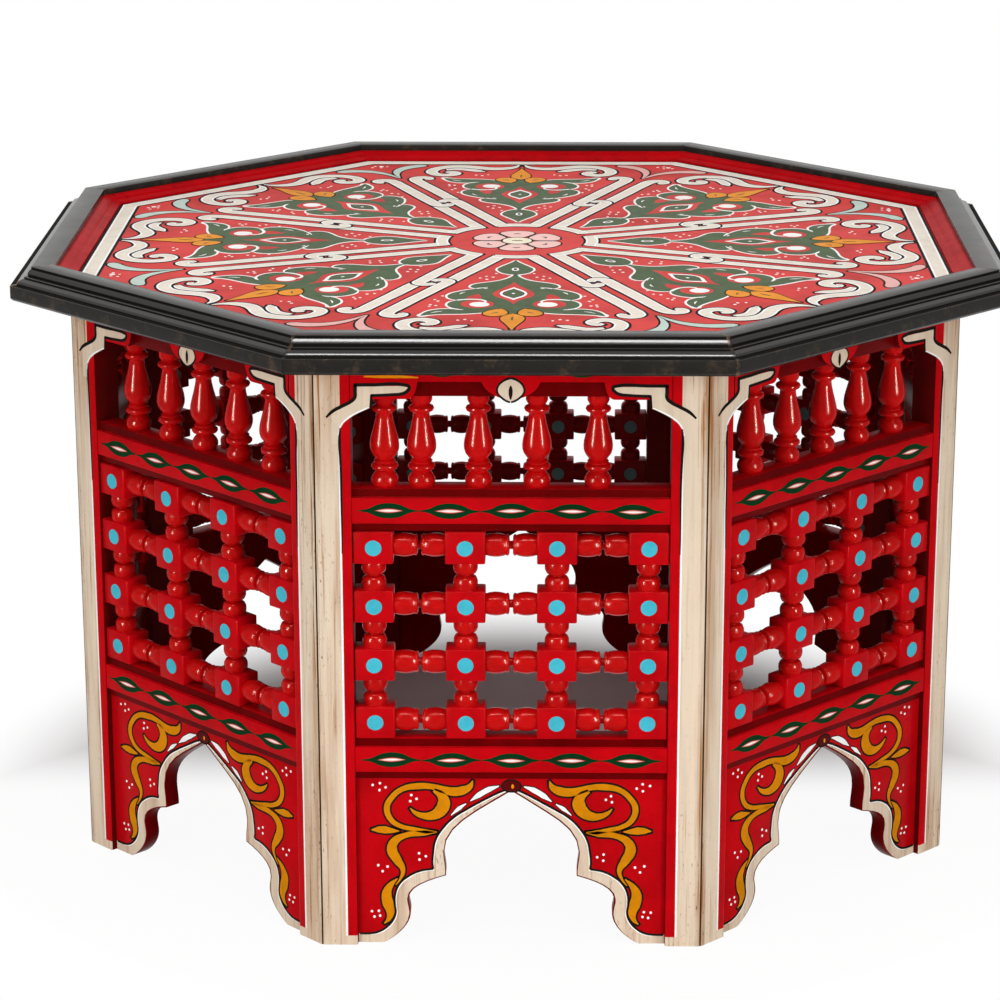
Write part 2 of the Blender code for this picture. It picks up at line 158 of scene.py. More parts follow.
class TableColours(bpy.types.PropertyGroup):
    """Colours of the table's paints"""

    red: colour("Red lacquer", "Bright red of the joinery", (0.52, 0.002, 0.0055))
    turned: colour("Turned red", "Warmer red of the turned pieces", (0.53, 0.0035, 0.0038))
    # Maroon paints the heart at the top of each arch, and painted shade on the stiles' inner reveals and back
    # faces
    maroon_and_shade: colour("Maroon", "Dark red of recesses and the inside", (0.10, 0.0015, 0.002))
    rose: colour("Rose red", "Ground of the painted top", (0.67, 0.044, 0.038))
    cream: colour("Antique cream", "Aged cream of the stiles", (0.76, 0.625, 0.475))
    ivory: colour("Ivory", "Cream of the painted bands", (0.83, 0.755, 0.65))
    line: colour("Black line", "Thin outlines of the ornament", (0.015, 0.010, 0.009))
    rim: colour("Black lacquer", "Moulding round the top", (0.0135, 0.0118, 0.0095))
    rubbed: colour("Rubbed wood", "Wood that shows where an edge is worn", (0.16, 0.10, 0.055))
    stain: colour("Stain", "Brown of the aged cream", (0.36, 0.155, 0.05))
    seam: colour("Seam", "Dirt in the corner joints", (0.05, 0.028, 0.014))
    rail_green: colour("Leaf green", "Leaves on the rails", (0.003, 0.036, 0.010))
    green: colour("Palmette green", "Palmettes on the top", (0.046, 0.085, 0.024))
    # The inner dots are the turquoise made darker and greyer, painted shade for the dim inside of the table
    shaded_turquoise: colour("Dull dots", "Dots on the blocks' inner faces", (0.085, 0.14, 0.135))
    turquoise: colour("Turquoise", "Dots on the blocks", (0.061, 0.479, 0.604))
    ochre: colour("Ochre", "Scrolls and tulips", (0.80, 0.285, 0.004))
    brown: colour("Brown", "Outlines of the tulips", (0.18, 0.075, 0.015))
    pink: colour("Pink", "Corner leaves", (0.80, 0.44, 0.40))
    petal: colour("Petal pink", "Petals of the rosette", (0.91, 0.57, 0.525))
    butter: colour("Butter", "Eye of the rosette", (0.92, 0.83, 0.64))
    celadon: colour("Celadon", "Corner leaves", (0.54, 0.65, 0.58))
    white: colour("White", "Edges of the bands, highlights and dots", (0.95, 0.935, 0.905))


class TableSizes(bpy.types.PropertyGroup):
    """Sizes of the table's dressing"""

    cream_edge: length("Cream edge", "Distance from a side's middle to the inner edge of its cream", 0.1205)
    stile_round: length("Stile rounding", "Rounding of a stile's outer corner", 0.0014)
    plain_foot: length("Plain foot", "Height of the bare cream at a stile's foot", 0.0072)
    plain_head: length("Plain head", "Height at a stile's head where the white line is left out", 0.0318)
    white_line: length("White line", "Width of the white line along the cream", 0.0014)
    worn_mitre: length("Worn mitre", "Width of the rubbed strip beside a mitre of the rim", 0.0013)
    worn_edge: length("Worn edge", "Width of the worn strip beside a corner joint", 0.0045)
    arris: length("Arris", "Rounding of the joinery's edges", 0.0007)
    block_arris: length("Block arris", "Rounding of the screen's blocks", 0.0011)
    dot_radius: length("Dot radius", "Radius of the dots on the blocks", 0.0057)
    rim_arris: length("Rim arris", "Rounding of the moulding's edges", 0.00035)
    outline: length("Outline", "Width of the black outlines", 0.0018)
    border_outer: length("Border outside", "Apothem of the painted border's outer line", 0.3285)
    border_inner: length("Border inside", "Apothem of the painted border's inner line", 0.3123)
    hand: length("Hand wander", "How far the brush wanders from the drawing", 0.0005)


# Paint finishes

COLOUR = "NodeSocketColor"
VECTOR = "NodeSocketVector"
FLOAT = "NodeSocketFloat"

# How finely the brush marks and the grain repeat along x, y and z, per metre
UPRIGHT = (180.0, 180.0, 9.0)
ROUND = (45.0, 45.0, 45.0)
BRUSH = (120.0, 120.0, 120.0)
BROAD = (16.0, 16.0, 16.0)
MOULDED = (30.0, 30.0, 90.0)

# Tints of the gloss
CLEAR = (1.0, 1.0, 1.0)
WARM = (1.0, 0.52, 0.36)
PALE = (1.0, 0.88, 0.72)

BRUSH_RELIEF = 0.0006
# Height above which the cream grows browner towards the top
TOP_BROWNING_LOW = 0.33


def feed(tree, node, values):
    """Gives a node's sockets links or plain values."""
    for name, value in values.items():
        if isinstance(value, bpy.types.NodeSocket):
            tree.links.new(value, node.inputs[name])
        else:
            node.inputs[name].default_value = value


def add_node(tree, kind, values, **settings):
    """Adds a node, sets it up and feeds it."""
    node = tree.nodes.new(kind)
    for name, value in settings.items():
        setattr(node, name, value)
    feed(tree, node, values)
    return node


def math_node(tree, operation, *values, clamp=False):
    """Adds a maths node fed by links or plain numbers."""
    node = add_node(tree, "ShaderNodeMath", dict(enumerate(values)), operation=operation, use_clamp=clamp)
    return node.outputs["Value"]


def range_node(tree, value, low, high, to_low=0.0, to_high=1.0):
    """Maps a value from one range to another, smoothly and clamped."""
    values = {"Value": value, "From Min": low, "From Max": high, "To Min": to_low, "To Max": to_high}
    return add_node(tree, "ShaderNodeMapRange", values, interpolation_type="SMOOTHSTEP").outputs["Result"]


def mix_node(tree, share, first, second):
    """Mixes two colours by a share."""
    return add_node(tree, "ShaderNodeMix", {0: share, 6: first, 7: second}, data_type="RGBA").outputs[2]


def object_place(tree):
    """The place on the piece, in metres."""
    return tree.nodes.new("ShaderNodeTexCoord").outputs["Object"]


def noise_node(tree, grain, detail, roughness):
    """Adds a noise stretched along the brush or the grain."""
    mapping = add_node(tree, "ShaderNodeMapping", {"Vector": object_place(tree), "Scale": grain})
    values = {"Vector": mapping.outputs["Vector"], "Scale": 1.0, "Detail": detail, "Roughness": roughness}
    return add_node(tree, "ShaderNodeTexNoise", values).outputs["Fac"]


def new_group(name, inputs, outputs):
    """Starts a node group and gives its tree, the sockets that come in and those that go out."""
    tree = bpy.data.node_groups.new(name, "ShaderNodeTree")
    for label, (kind, value) in inputs.items():
        socket = tree.interface.new_socket(name=label, in_out="INPUT", socket_type=kind)
        socket.default_value = value
    for label, kind in outputs.items():
        tree.interface.new_socket(name=label, in_out="OUTPUT", socket_type=kind)
    return tree, tree.nodes.new("NodeGroupInput").outputs, tree.nodes.new("NodeGroupOutput").inputs


def brushed_paint(name):
    """Paint laid by hand: cloudy shade, brush streaks, and a gloss and height that follow them."""
    inputs = {
        "Colour": (COLOUR, (0.5, 0.5, 0.5, 1.0)), "Shade": (COLOUR, (0.2, 0.2, 0.2, 1.0)),
        "Grain": (VECTOR, (60.0, 60.0, 60.0)), "Spread": (FLOAT, 0.5), "Roughness": (FLOAT, 0.35),
    }
    tree, given, result = new_group(name, inputs, {"Colour": COLOUR, "Gloss": FLOAT, "Height": FLOAT})
    streaks = noise_node(tree, given["Grain"], 5.0, 0.65)
    clouds = noise_node(tree, (9.0, 9.0, 9.0), 3.0, 0.55)
    fine = noise_node(tree, (900.0, 900.0, 900.0), 2.0, 0.5)
    mingled = math_node(tree, "MULTIPLY_ADD", streaks, 0.6, math_node(tree, "MULTIPLY", clouds, 0.4))
    share = math_node(tree, "MULTIPLY", range_node(tree, mingled, 0.40, 0.66), given["Spread"])
    smoothest = math_node(tree, "SUBTRACT", given["Roughness"], 0.08)
    tree.links.new(mix_node(tree, share, given["Colour"], given["Shade"]), result["Colour"])
    tree.links.new(math_node(tree, "MULTIPLY_ADD", streaks, 0.16, smoothest), result["Gloss"])
    tree.links.new(math_node(tree, "MULTIPLY_ADD", fine, 0.25, streaks), result["Height"])
    return tree


def ageing(name):
    """Over a pale paint, brown streaks along upright grain, a wash, specks, and more brown towards the top.
    """
    inputs = {
        "Colour": (COLOUR, (0.7, 0.6, 0.4, 1.0)), "Stain": (COLOUR, (0.2, 0.12, 0.06, 1.0)),
        "Amount": (FLOAT, 0.5), "TopBrowning": (FLOAT, 0.0),
    }
    tree, given, result = new_group(name, inputs, {"Colour": COLOUR})
    streaks = range_node(tree, noise_node(tree, (430.0, 430.0, 8.0), 4.0, 0.6), 0.52, 0.70)
    specks = range_node(tree, noise_node(tree, (760.0, 760.0, 210.0), 2.0, 0.5), 0.61, 0.74)
    patches = range_node(tree, noise_node(tree, (26.0, 26.0, 11.0), 3.0, 0.6), 0.42, 0.68)
    wash = range_node(tree, noise_node(tree, (60.0, 60.0, 5.0), 3.0, 0.6), 0.44, 0.70)
    faint = math_node(tree, "MULTIPLY", streaks, math_node(tree, "ADD", patches, 0.35, clamp=True))
    brown = math_node(tree, "MULTIPLY_ADD", faint, 0.72, math_node(tree, "MULTIPLY", wash, 0.42))
    # Browner towards the top of the piece, over its upper part
    height = add_node(tree, "ShaderNodeSeparateXYZ", {0: object_place(tree)}).outputs["Z"]
    top_streaks = math_node(tree, "MULTIPLY_ADD", streaks, 0.7, math_node(tree, "MULTIPLY", patches, 0.35))
    top_share = math_node(tree, "MULTIPLY", range_node(tree, height, TOP_BROWNING_LOW, BODY_HEIGHT), top_streaks)
    top_browning = math_node(tree, "MULTIPLY", top_share, given["TopBrowning"])
    stained = math_node(tree, "MULTIPLY", brown, given["Amount"], clamp=True)
    stained = math_node(tree, "ADD", stained, top_browning, clamp=True)
    aged = mix_node(tree, stained, given["Colour"], given["Stain"])
    broken = math_node(tree, "MULTIPLY", specks, math_node(tree, "MULTIPLY_ADD", patches, 0.55, 0.12))
    dirt = math_node(tree, "MULTIPLY", broken, given["Amount"], clamp=True)
    grime = mix_node(tree, 0.58, given["Stain"], (0.01, 0.006, 0.004, 1.0))
    tree.links.new(mix_node(tree, dirt, aged, grime), result["Colour"])
    return tree


def rubbing(name):
    """Mask of the places where handling has rubbed the lacquer through."""
    tree, given, result = new_group(name, {"Low": (FLOAT, 0.5), "High": (FLOAT, 0.65)}, {"Mask": FLOAT})
    patches = noise_node(tree, (70.0, 70.0, 70.0), 5.0, 0.7)
    tree.links.new(range_node(tree, patches, given["Low"], given["High"]), result["Mask"])
    return tree


def add_group(tree, maker, values):
    """Adds a shared effect, made the first time it is asked for, and gives its results."""
    name = maker.__name__
    shared = bpy.data.node_groups.get(name) or maker(name)
    return add_node(tree, "ShaderNodeGroup", values, node_tree=shared).outputs


def darker(tint, share):
    """A deeper version of a colour."""
    return tuple(part * share for part in tint)


def painted(name, tint, shade=0.6, grain=BRUSH, spread=0.6, roughness=0.40, shine=0.04, bump=0.12,
            gleam=CLEAR, stain=None, age=0.0, top_browning=0.0, rubbed=None, wear=(0.5, 0.65)):
    """A hand-painted finish with brush streaks, and ageing or rubbed edges where they are given."""
    finish = bpy.data.materials.new(name)
    finish.use_nodes = True
    tree = finish.node_tree
    values = {
        "Colour": (*tint, 1.0), "Shade": (*darker(tint, shade), 1.0), "Grain": grain, "Spread": spread,
        "Roughness": roughness,
    }
    brush = add_group(tree, brushed_paint, values)
    surface = brush["Colour"]
    if stain is not None:
        values = {"Colour": surface, "Stain": (*stain, 1.0), "Amount": age, "TopBrowning": top_browning}
        surface = add_group(tree, ageing, values)["Colour"]
    if rubbed is not None:
        mask = add_group(tree, rubbing, {"Low": wear[0], "High": wear[1]})["Mask"]
        surface = mix_node(tree, mask, surface, (*rubbed, 1.0))
    values = {"Strength": bump, "Distance": BRUSH_RELIEF, "Height": brush["Height"]}
    relief = add_node(tree, "ShaderNodeBump", values)
    feed(tree, tree.nodes["Principled BSDF"], {
        "Base Color": surface, "Roughness": brush["Gloss"], "Normal": relief.outputs["Normal"],
        "Specular IOR Level": shine, "Specular Tint": (*gleam, 1.0),
    })
    return finish


def make_finish(name):
    """Builds one named finish from the colours in the panel."""
    tone = bpy.context.scene.table_colours
    worn = tone.rubbed
    recipes = {
        "joinery_red": (tone.red, dict(shade=0.62, grain=ROUND, roughness=0.30, shine=0.025, gleam=WARM)),
        "cove_red": (darker(tone.red, 0.8), dict(
            grain=ROUND, roughness=0.36, shine=0.02, gleam=WARM,
            rubbed=darker(tone.maroon_and_shade, 1.2), wear=(0.54, 0.80),
        )),
        "red_turned": (tone.turned, dict(
            shade=0.66, grain=ROUND, roughness=0.17, shine=0.05, gleam=PALE, bump=0.03
        )),
        # Painted shade for the faces that look into the table
        "red_shade": (darker(tone.turned, 0.3), dict(grain=ROUND, roughness=0.45, shine=0.01)),
        # A darker red for faces that are set back, face down or look inwards: painted shade
        "red_recess_shade": (darker(tone.red, 0.27), dict(
            shade=0.5, grain=ROUND, roughness=0.30, shine=0.02, gleam=WARM
        )),
        "maroon_and_shade": (tone.maroon_and_shade, dict(shade=0.5, grain=ROUND)),
        "rose": (tone.rose, dict(grain=BROAD, spread=0.8, roughness=0.42, shine=0.03)),
        "cream": (tone.cream, dict(
            shade=0.84, grain=UPRIGHT, roughness=0.48, bump=0.25, shine=0.06,
            stain=tone.stain, age=1.0, top_browning=1.0,
        )),
        "cream_worn": (darker(tone.cream, 0.95), dict(
            shade=0.78, grain=UPRIGHT, roughness=0.5, bump=0.3, shine=0.05,
            stain=tone.stain, age=1.8, top_browning=1.3,
        )),
        "cream_smooth": (darker(tone.cream, 0.97), dict(
            shade=0.88, grain=UPRIGHT, roughness=0.48, bump=0.2, stain=tone.stain, age=0.3
        )),
        "seam": (tone.seam, dict(grain=UPRIGHT, roughness=0.7, shine=0.02)),
        "ivory": (tone.ivory, dict(shade=0.86, bump=0.15, stain=(0.40, 0.26, 0.14), age=0.25)),
        "line": (tone.line, dict(roughness=0.45, shine=0.006)),
        "rim_black": (tone.rim, dict(
            shade=0.55, grain=MOULDED, roughness=0.24, shine=0.12,
            rubbed=darker(worn, 0.42), wear=(0.50, 0.80),
        )),
        "rim_polished": (darker(tone.rim, 0.7), dict(
            grain=MOULDED, roughness=0.22, shine=0.3, rubbed=darker(worn, 0.3), wear=(0.66, 0.84)
        )),
        "rim_rubbed": (tone.rim, dict(
            shade=0.7, grain=MOULDED, roughness=0.24, shine=0.3, rubbed=darker(worn, 0.6), wear=(0.50, 0.72)
        )),
        "rim_corner": (darker(tone.rim, 0.8), dict(
            grain=MOULDED, roughness=0.3, shine=0.12, rubbed=worn, wear=(0.46, 0.64)
        )),
        # A darker, matte black for the moulding's grooves: painted shade in the creases
        "rim_groove_shade": (darker(tone.rim, 0.6), dict(grain=MOULDED, roughness=0.7, shine=0.015)),
        "rail_green": (tone.rail_green, dict(shine=0.015)),
        "green": (tone.green, dict(shade=0.62, roughness=0.38)),
        "turquoise": (tone.turquoise, dict(shade=0.75, roughness=0.34)),
        "shaded_turquoise_dot": (tone.shaded_turquoise, dict(shade=0.8, roughness=0.5, shine=0.01)),
        "ochre": (tone.ochre, dict(shade=0.68, roughness=0.38, shine=0.03)),
        "scroll_ochre": (darker(tone.ochre, 0.84), dict(shade=0.70, shine=0.01)),
        "brown": (tone.brown, dict(roughness=0.42)),
        "pink": (tone.pink, dict(shade=0.84)),
        "petal": (tone.petal, dict(shade=0.88)),
        "butter": (tone.butter, dict(shade=0.9)),
        "celadon": (tone.celadon, dict(shade=0.82)),
        "white": (tone.white, dict(shade=0.86)),
    }
    tint, values = recipes[name]
    return painted(name, tuple(tint), **values)


def finish_named(name):
    """The finish of that name, made the first time it is asked for."""
    return bpy.data.materials.get(name) or make_finish(name)


# Places on the table

def side_place(index):
    """From a side's own frame, x along it, y inwards and z up, to the table's."""
    return Matrix.Rotation(EIGHTH * index, 4, "Z") @ Matrix.Translation((0, -BODY_APOTHEM, 0))


def standing(setback, low=0.0, across=1.0, up=1.0, turn=0.0):
    """From a flat drawing in millimetres to a face in a side's own frame, turned where it looks inwards."""
    scale = Matrix.Diagonal((0.001 * across, 0.001 * up, 0.001, 1.0))
    upright = Matrix.Rotation(turn, 4, "Z") @ Matrix.Rotation(math.radians(90), 4, "X")
    return Matrix.Translation((0, setback, low)) @ upright @ scale


def on_sides(place):
    """A place in a side's own frame, on all eight sides."""
    return [side_place(index) @ place for index in range(len(SIDES))]


def drawing_on_top(turn, size=1.0):
    """From a flat drawing in millimetres, y outwards, to the panel's top."""
    scale = Matrix.Diagonal((0.001 * size, 0.001 * size, 0.001, 1.0))
    return Matrix.Rotation(turn, 4, "Z") @ Matrix.Translation((0, 0, PANEL_TOP)) @ scale


def sectors(size=1.0):
    """The eight sectors of the top, from the back one round."""
    return [drawing_on_top(EIGHTH * index, size) for index in range(8)]


def spokes():
    """The eight lines between the sectors."""
    return [drawing_on_top(EIGHTH * (index + 0.5)) for index in range(8)]


# Curves made into meshes

def curve_mesh(curve):
    """Turns a curve into a mesh and removes the curve."""
    holder = bpy.data.objects.new("drawing", curve)
    bpy.context.collection.objects.link(holder)
    graph = bpy.context.evaluated_depsgraph_get()
    mesh = bpy.data.meshes.new_from_object(holder.evaluated_get(graph))
    bpy.data.objects.remove(holder)
    bpy.data.curves.remove(curve)
    bm = bmesh.new()
    bm.from_mesh(mesh)
    bpy.data.meshes.remove(mesh)
    bmesh.ops.remove_doubles(bm, verts=bm.verts, dist=0.0005)
    bmesh.ops.recalc_face_normals(bm, faces=bm.faces)
    return bm


def add_loop(curve, knots, runs=None, steps=4):
    """Adds a closed outline. A knot is x, y and True at a corner; a run is the bend that starts at it."""
    spline = curve.splines.new("BEZIER")
    spline.bezier_points.add(len(knots) - 1)
    spline.use_cyclic_u = True
    spline.resolution_u = steps
    for point, knot in zip(spline.bezier_points, knots):
        kind = "VECTOR" if len(knot) > 2 and knot[2] else "AUTO"
        point.co = (knot[0], knot[1], 0.0)
        point.handle_left_type = kind
        point.handle_right_type = kind
    for index, (leaving, arriving) in (runs or {}).items():
        start = spline.bezier_points[index]
        end = spline.bezier_points[(index + 1) % len(knots)]
        span = end.co - start.co
        start.handle_right_type = "FREE"
        end.handle_left_type = "FREE"
        start.handle_right = start.co + Vector((span.x * leaving[0], span.y * leaving[1], 0.0))
        end.handle_left = end.co - Vector((span.x * arriving[0], span.y * arriving[1], 0.0))


def filled(loops, high, steps=4, low=SUNK):
    """A film with those outlines up to that height, or a board where a low is given."""
    curve = bpy.data.curves.new("outline", "CURVE")
    curve.dimensions = "2D"
    curve.fill_mode = "BOTH"
    curve.extrude = (high - low) / 2
    for loop in loops:
        knots, runs = loop if isinstance(loop, tuple) else (loop, None)
        add_loop(curve, knots, runs, steps)
    bm = curve_mesh(curve)
    bmesh.ops.translate(bm, verts=bm.verts, vec=(0, 0, (high + low) / 2))
    return bm


def brush_section():
    """The flat line that a stroke carries along its path."""
    held = bpy.data.objects.get("brush_section")
    if held:
        return held
    curve = bpy.data.curves.new("brush_section", "CURVE")
    spline = curve.splines.new("POLY")
    spline.points.add(1)
    spline.points[0].co = (-1.0, 0.0, 0.0, 1.0)
    spline.points[1].co = (1.0, 0.0, 0.0, 1.0)
    held = bpy.data.objects.new("brush_section", curve)
    bpy.context.collection.objects.link(held)
    return held


def stroked(paths, high, widen=0.0):
    """A film of brush strokes. A path's points are x, y and half the stroke's width."""
    curve = bpy.data.curves.new("strokes", "CURVE")
    curve.dimensions = "3D"
    curve.twist_mode = "Z_UP"
    curve.bevel_mode = "OBJECT"
    curve.bevel_object = brush_section()
    for path in paths:
        spline = curve.splines.new("BEZIER")
        spline.bezier_points.add(len(path) - 1)
        spline.resolution_u = 4
        for point, (x, y, half) in zip(spline.bezier_points, lengthened(path, widen)):
            point.co = (x, y, 0.0)
            point.radius = half + widen
            point.handle_left_type = "AUTO"
            point.handle_right_type = "AUTO"
    bm = curve_mesh(curve)
    for face in bm.faces:
        if face.normal.z < 0:
            face.normal_flip()
    bmesh.ops.solidify(bm, geom=bm.faces[:], thickness=high - SUNK)
    bmesh.ops.recalc_face_normals(bm, faces=bm.faces)
    bmesh.ops.translate(bm, verts=bm.verts, vec=(0, 0, high - max(v.co.z for v in bm.verts)))
    return bm


def lengthened(path, by):
    """The path with both ends carried on by a little, so that an outline goes round the tips."""
    if by <= 0:
        return path
    points = [Vector(point[:2]) for point in path]
    first = points[0] + (points[0] - points[1]).normalized() * by
    last = points[-1] + (points[-1] - points[-2]).normalized() * by
    return [(first.x, first.y, path[0][2])] + list(path[1:-1]) + [(last.x, last.y, path[-1][2])]


def mirrored(shapes):
    """The same outlines or paths across the drawing's middle line."""
    return [[(-knot[0], *knot[1:]) for knot in reversed(shape)] for shape in shapes]


def both(shapes):
    """Shapes with their mirror images."""
    return list(shapes) + mirrored(shapes)


def whole(half):
    """A closed outline from its right half, which runs from the middle line back to it."""
    return list(half) + [(-knot[0], *knot[1:]) for knot in reversed(half) if abs(knot[0]) > 0.001]


def disc(x, y, across, up=None):
    """A round outline."""
    up = up or across
    return [
        (x + across * math.cos(math.radians(turn)), y + up * math.sin(math.radians(turn)))
        for turn in range(0, 360, 60)
    ]


# Gathering shapes into pieces

def add_shape(target, shape, place, finish=None, seed=None):
    """Adds a shape to a piece at a place, with the wander of a hand-held brush where a seed is given."""
    start = len(target.verts)
    first = len(target.faces)
    mesh = bpy.data.meshes.new("shape")
    shape.to_mesh(mesh)
    target.from_mesh(mesh)
    bpy.data.meshes.remove(mesh)
    target.verts.ensure_lookup_table()
    target.faces.ensure_lookup_table()
    wander = bpy.context.scene.table_sizes.hand * 1000
    for vert in target.verts[start:]:
        if seed is not None:
            spot = Vector((vert.co.x * 0.035, vert.co.y * 0.035, seed * 5.7))
            drift = noise.noise_vector(spot) * wander
            vert.co.x += drift.x
            vert.co.y += drift.y
        vert.co = place @ vert.co
        vert.co.z = max(vert.co.z, 0.0)
    if finish is not None:
        for face in target.faces[first:]:
            face.material_index = finish


def finish_piece(name, bm, finishes, replaces=(), smooth=38.0):
    """Makes one named piece that rides with the table."""
    bmesh.ops.remove_doubles(bm, verts=bm.verts, dist=1e-6)
    bmesh.ops.recalc_face_normals(bm, faces=bm.faces)
    mesh = bpy.data.meshes.new(name)
    bm.to_mesh(mesh)
    bm.free()
    for finish in finishes:
        mesh.materials.append(finish_named(finish))
    mesh.shade_smooth()
    mesh.set_sharp_from_angle(angle=math.radians(smooth))
    piece = bpy.data.objects.new(name, mesh)
    bpy.context.collection.objects.link(piece)
    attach(piece, "root")
    if replaces:
        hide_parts(*replaces)
    return piece


def dress_sides(name, node, shapes, finishes, smooth=38.0, sides=SIDES):
    """Makes one piece on each side from shapes and their places in the side's own frame."""
    for side in sides:
        home = side_place(SIDES.index(side))
        target = bmesh.new()
        for shape, places in shapes:
            for place in places:
                add_shape(target, shape, home @ place)
        finish_piece(f"{side}_{name}", target, finishes, (f"{side}_{node}",), smooth)


def paint_piece(name, layers, places, finishes):
    """Paints the layers, each a film and its finish's name, at every place as one piece."""
    noise.seed_set(HAND_SEED)
    target = bmesh.new()
    for film, finish in layers:
        for seed, place in enumerate(places):
            add_shape(target, film, place, finishes.index(finish), seed)
        film.free()
    return finish_piece(name, target, finishes)


def band_layers(paths, line, levels):
    """A cream band with a white edge and a black outline, as three films up to those heights."""
    slim = [[(x, y, max(half - WHITE_EDGE, 0.15)) for x, y, half in path] for path in paths]
    return [
        (stroked(paths, levels[0], line), "line"),
        (stroked(paths, levels[1]), "white"),
        (stroked(slim, levels[2]), "ivory"),
    ]


# Joinery shapes

def plate(points, thickness):
    """A solid with a straight-sided outline, from height 0 up."""
    bm = bmesh.new()
    face = bm.faces.new([bm.verts.new((x, y, 0.0)) for x, y in points])
    face.normal_update()
    if face.normal.z < 0:
        face.normal_flip()
    bmesh.ops.solidify(bm, geom=[face], thickness=thickness)
    bmesh.ops.recalc_face_normals(bm, faces=bm.faces)
    bmesh.ops.translate(bm, verts=bm.verts, vec=(0, 0, -min(v.co.z for v in bm.verts)))
    return bm


def cuboid(size, middle, arris):
    """A rectangular piece with rounded edges."""
    bm = bmesh.new()
    bmesh.ops.create_cube(bm, size=1.0, matrix=Matrix.Translation(middle) @ Matrix.Diagonal((*size, 1.0)))
    round_edges(bm, bm.edges[:], arris)
    return bm


def round_edges(bm, edges, offset, segments=2):
    """Rounds the edges of a piece."""
    if not edges:
        raise ValueError("there are no edges to round")
    return bmesh.ops.bevel(
        bm, geom=edges, offset=offset, offset_type="OFFSET", affect="EDGES",
        segments=segments, profile=0.5, material=-1, clamp_overlap=True,
    )


def sharp_edges(bm, angle):
    """The edges where two faces meet at more than that angle."""
    limit = math.radians(angle)
    return [edge for edge in bm.edges if len(edge.link_faces) == 2 and edge.calc_face_angle(0.0) > limit]


def edge_span(edge, axis):
    """How far an edge runs along an axis."""
    return abs(edge.verts[0].co[axis] - edge.verts[1].co[axis])


def split(bm, point, normal):
    """Cuts the faces of a piece along a plane."""
    geom = bm.verts[:] + bm.edges[:] + bm.faces[:]
    bmesh.ops.bisect_plane(bm, geom=geom, plane_co=point, plane_no=normal)


def turned(profile, steps, axis):
    """A turned shape from distances along its axis and radii in millimetres, closed at both ends."""
    bm = bmesh.new()
    across = Vector((0, 0, 1)) if axis.x else Vector((1, 0, 0))
    verts = [bm.verts.new(axis * (along * 0.001) + across * (radius * 0.001)) for along, radius in profile]
    edges = [bm.edges.new(pair) for pair in zip(verts, verts[1:])]
    bmesh.ops.spin(
        bm, geom=verts + edges, cent=(0, 0, 0), axis=axis, dvec=(0, 0, 0),
        angle=math.tau, steps=steps, use_merge=True, use_duplicate=False,
    )
    bmesh.ops.remove_doubles(bm, verts=bm.verts, dist=1e-6)
    bmesh.ops.recalc_face_normals(bm, faces=bm.faces)
    return bm


def rail_shape(arris):
    """A rail with a raised face between two set-back borders, in a side's frame, standing on height 0."""
    low = (RAIL_HEIGHT - RAIL_FACE) / 2
    high = RAIL_HEIGHT - low
    section = [
        (RAIL_BACK, 0), (RAIL_BORDER_SETBACK, 0), (RAIL_BORDER_SETBACK, low), (RAIL_FACE_SETBACK, low),
        (RAIL_FACE_SETBACK, high), (RAIL_BORDER_SETBACK, high), (RAIL_BORDER_SETBACK, RAIL_HEIGHT),
        (RAIL_BACK, RAIL_HEIGHT),
    ]
    bm = plate(section, 2 * SNUG_HALF)
    lay = Matrix(((0, 0, 1, -SNUG_HALF), (1, 0, 0, 0), (0, 1, 0, 0), (0, 0, 0, 1)))
    bmesh.ops.transform(bm, matrix=lay, verts=bm.verts)
    round_edges(bm, [edge for edge in bm.edges if edge_span(edge, 0) > FIT_HALF], arris)
    bmesh.ops.recalc_face_normals(bm, faces=bm.faces)
    # Faces that are neither raised nor upward get the darker red, painted shade on the set-back borders and
    # on the rail's back and underside
    for face in bm.faces:
        raised = face.calc_center_median().y < RAIL_BORDER_SETBACK - 0.0012
        finish = "joinery_red" if raised or face.normal.z > 0.7 else "red_recess_shade"
        face.material_index = RAIL.index(finish)
    return bm


def shade_inside(shape, finishes, outer):
    """Gives the faces that look into the table a darker finish than the others, painted shade for the dim
    inside.
    """
    shape.normal_update()
    for face in shape.faces:
        face.material_index = finishes.index("red_shade" if face.normal.y > 0.45 else outer)


def mirror_profile(half):
    """A profile from its middle to one end, made whole."""
    return [(-along, radius) for along, radius in reversed(half[1:])] + list(half)


def block_grid():
    """Where the middles of a screen's blocks stand along the side and in height."""
    wide = 2 * FIT_HALF - BLOCK_WIDTH
    tall = SCREEN_HIGH - SCREEN_LOW - 2 * BLOCK_MARGIN
    columns = [(number - 1.5) * wide / 3 for number in range(4)]
    return columns, [SCREEN_LOW + BLOCK_MARGIN + number * tall / 3 for number in range(4)]


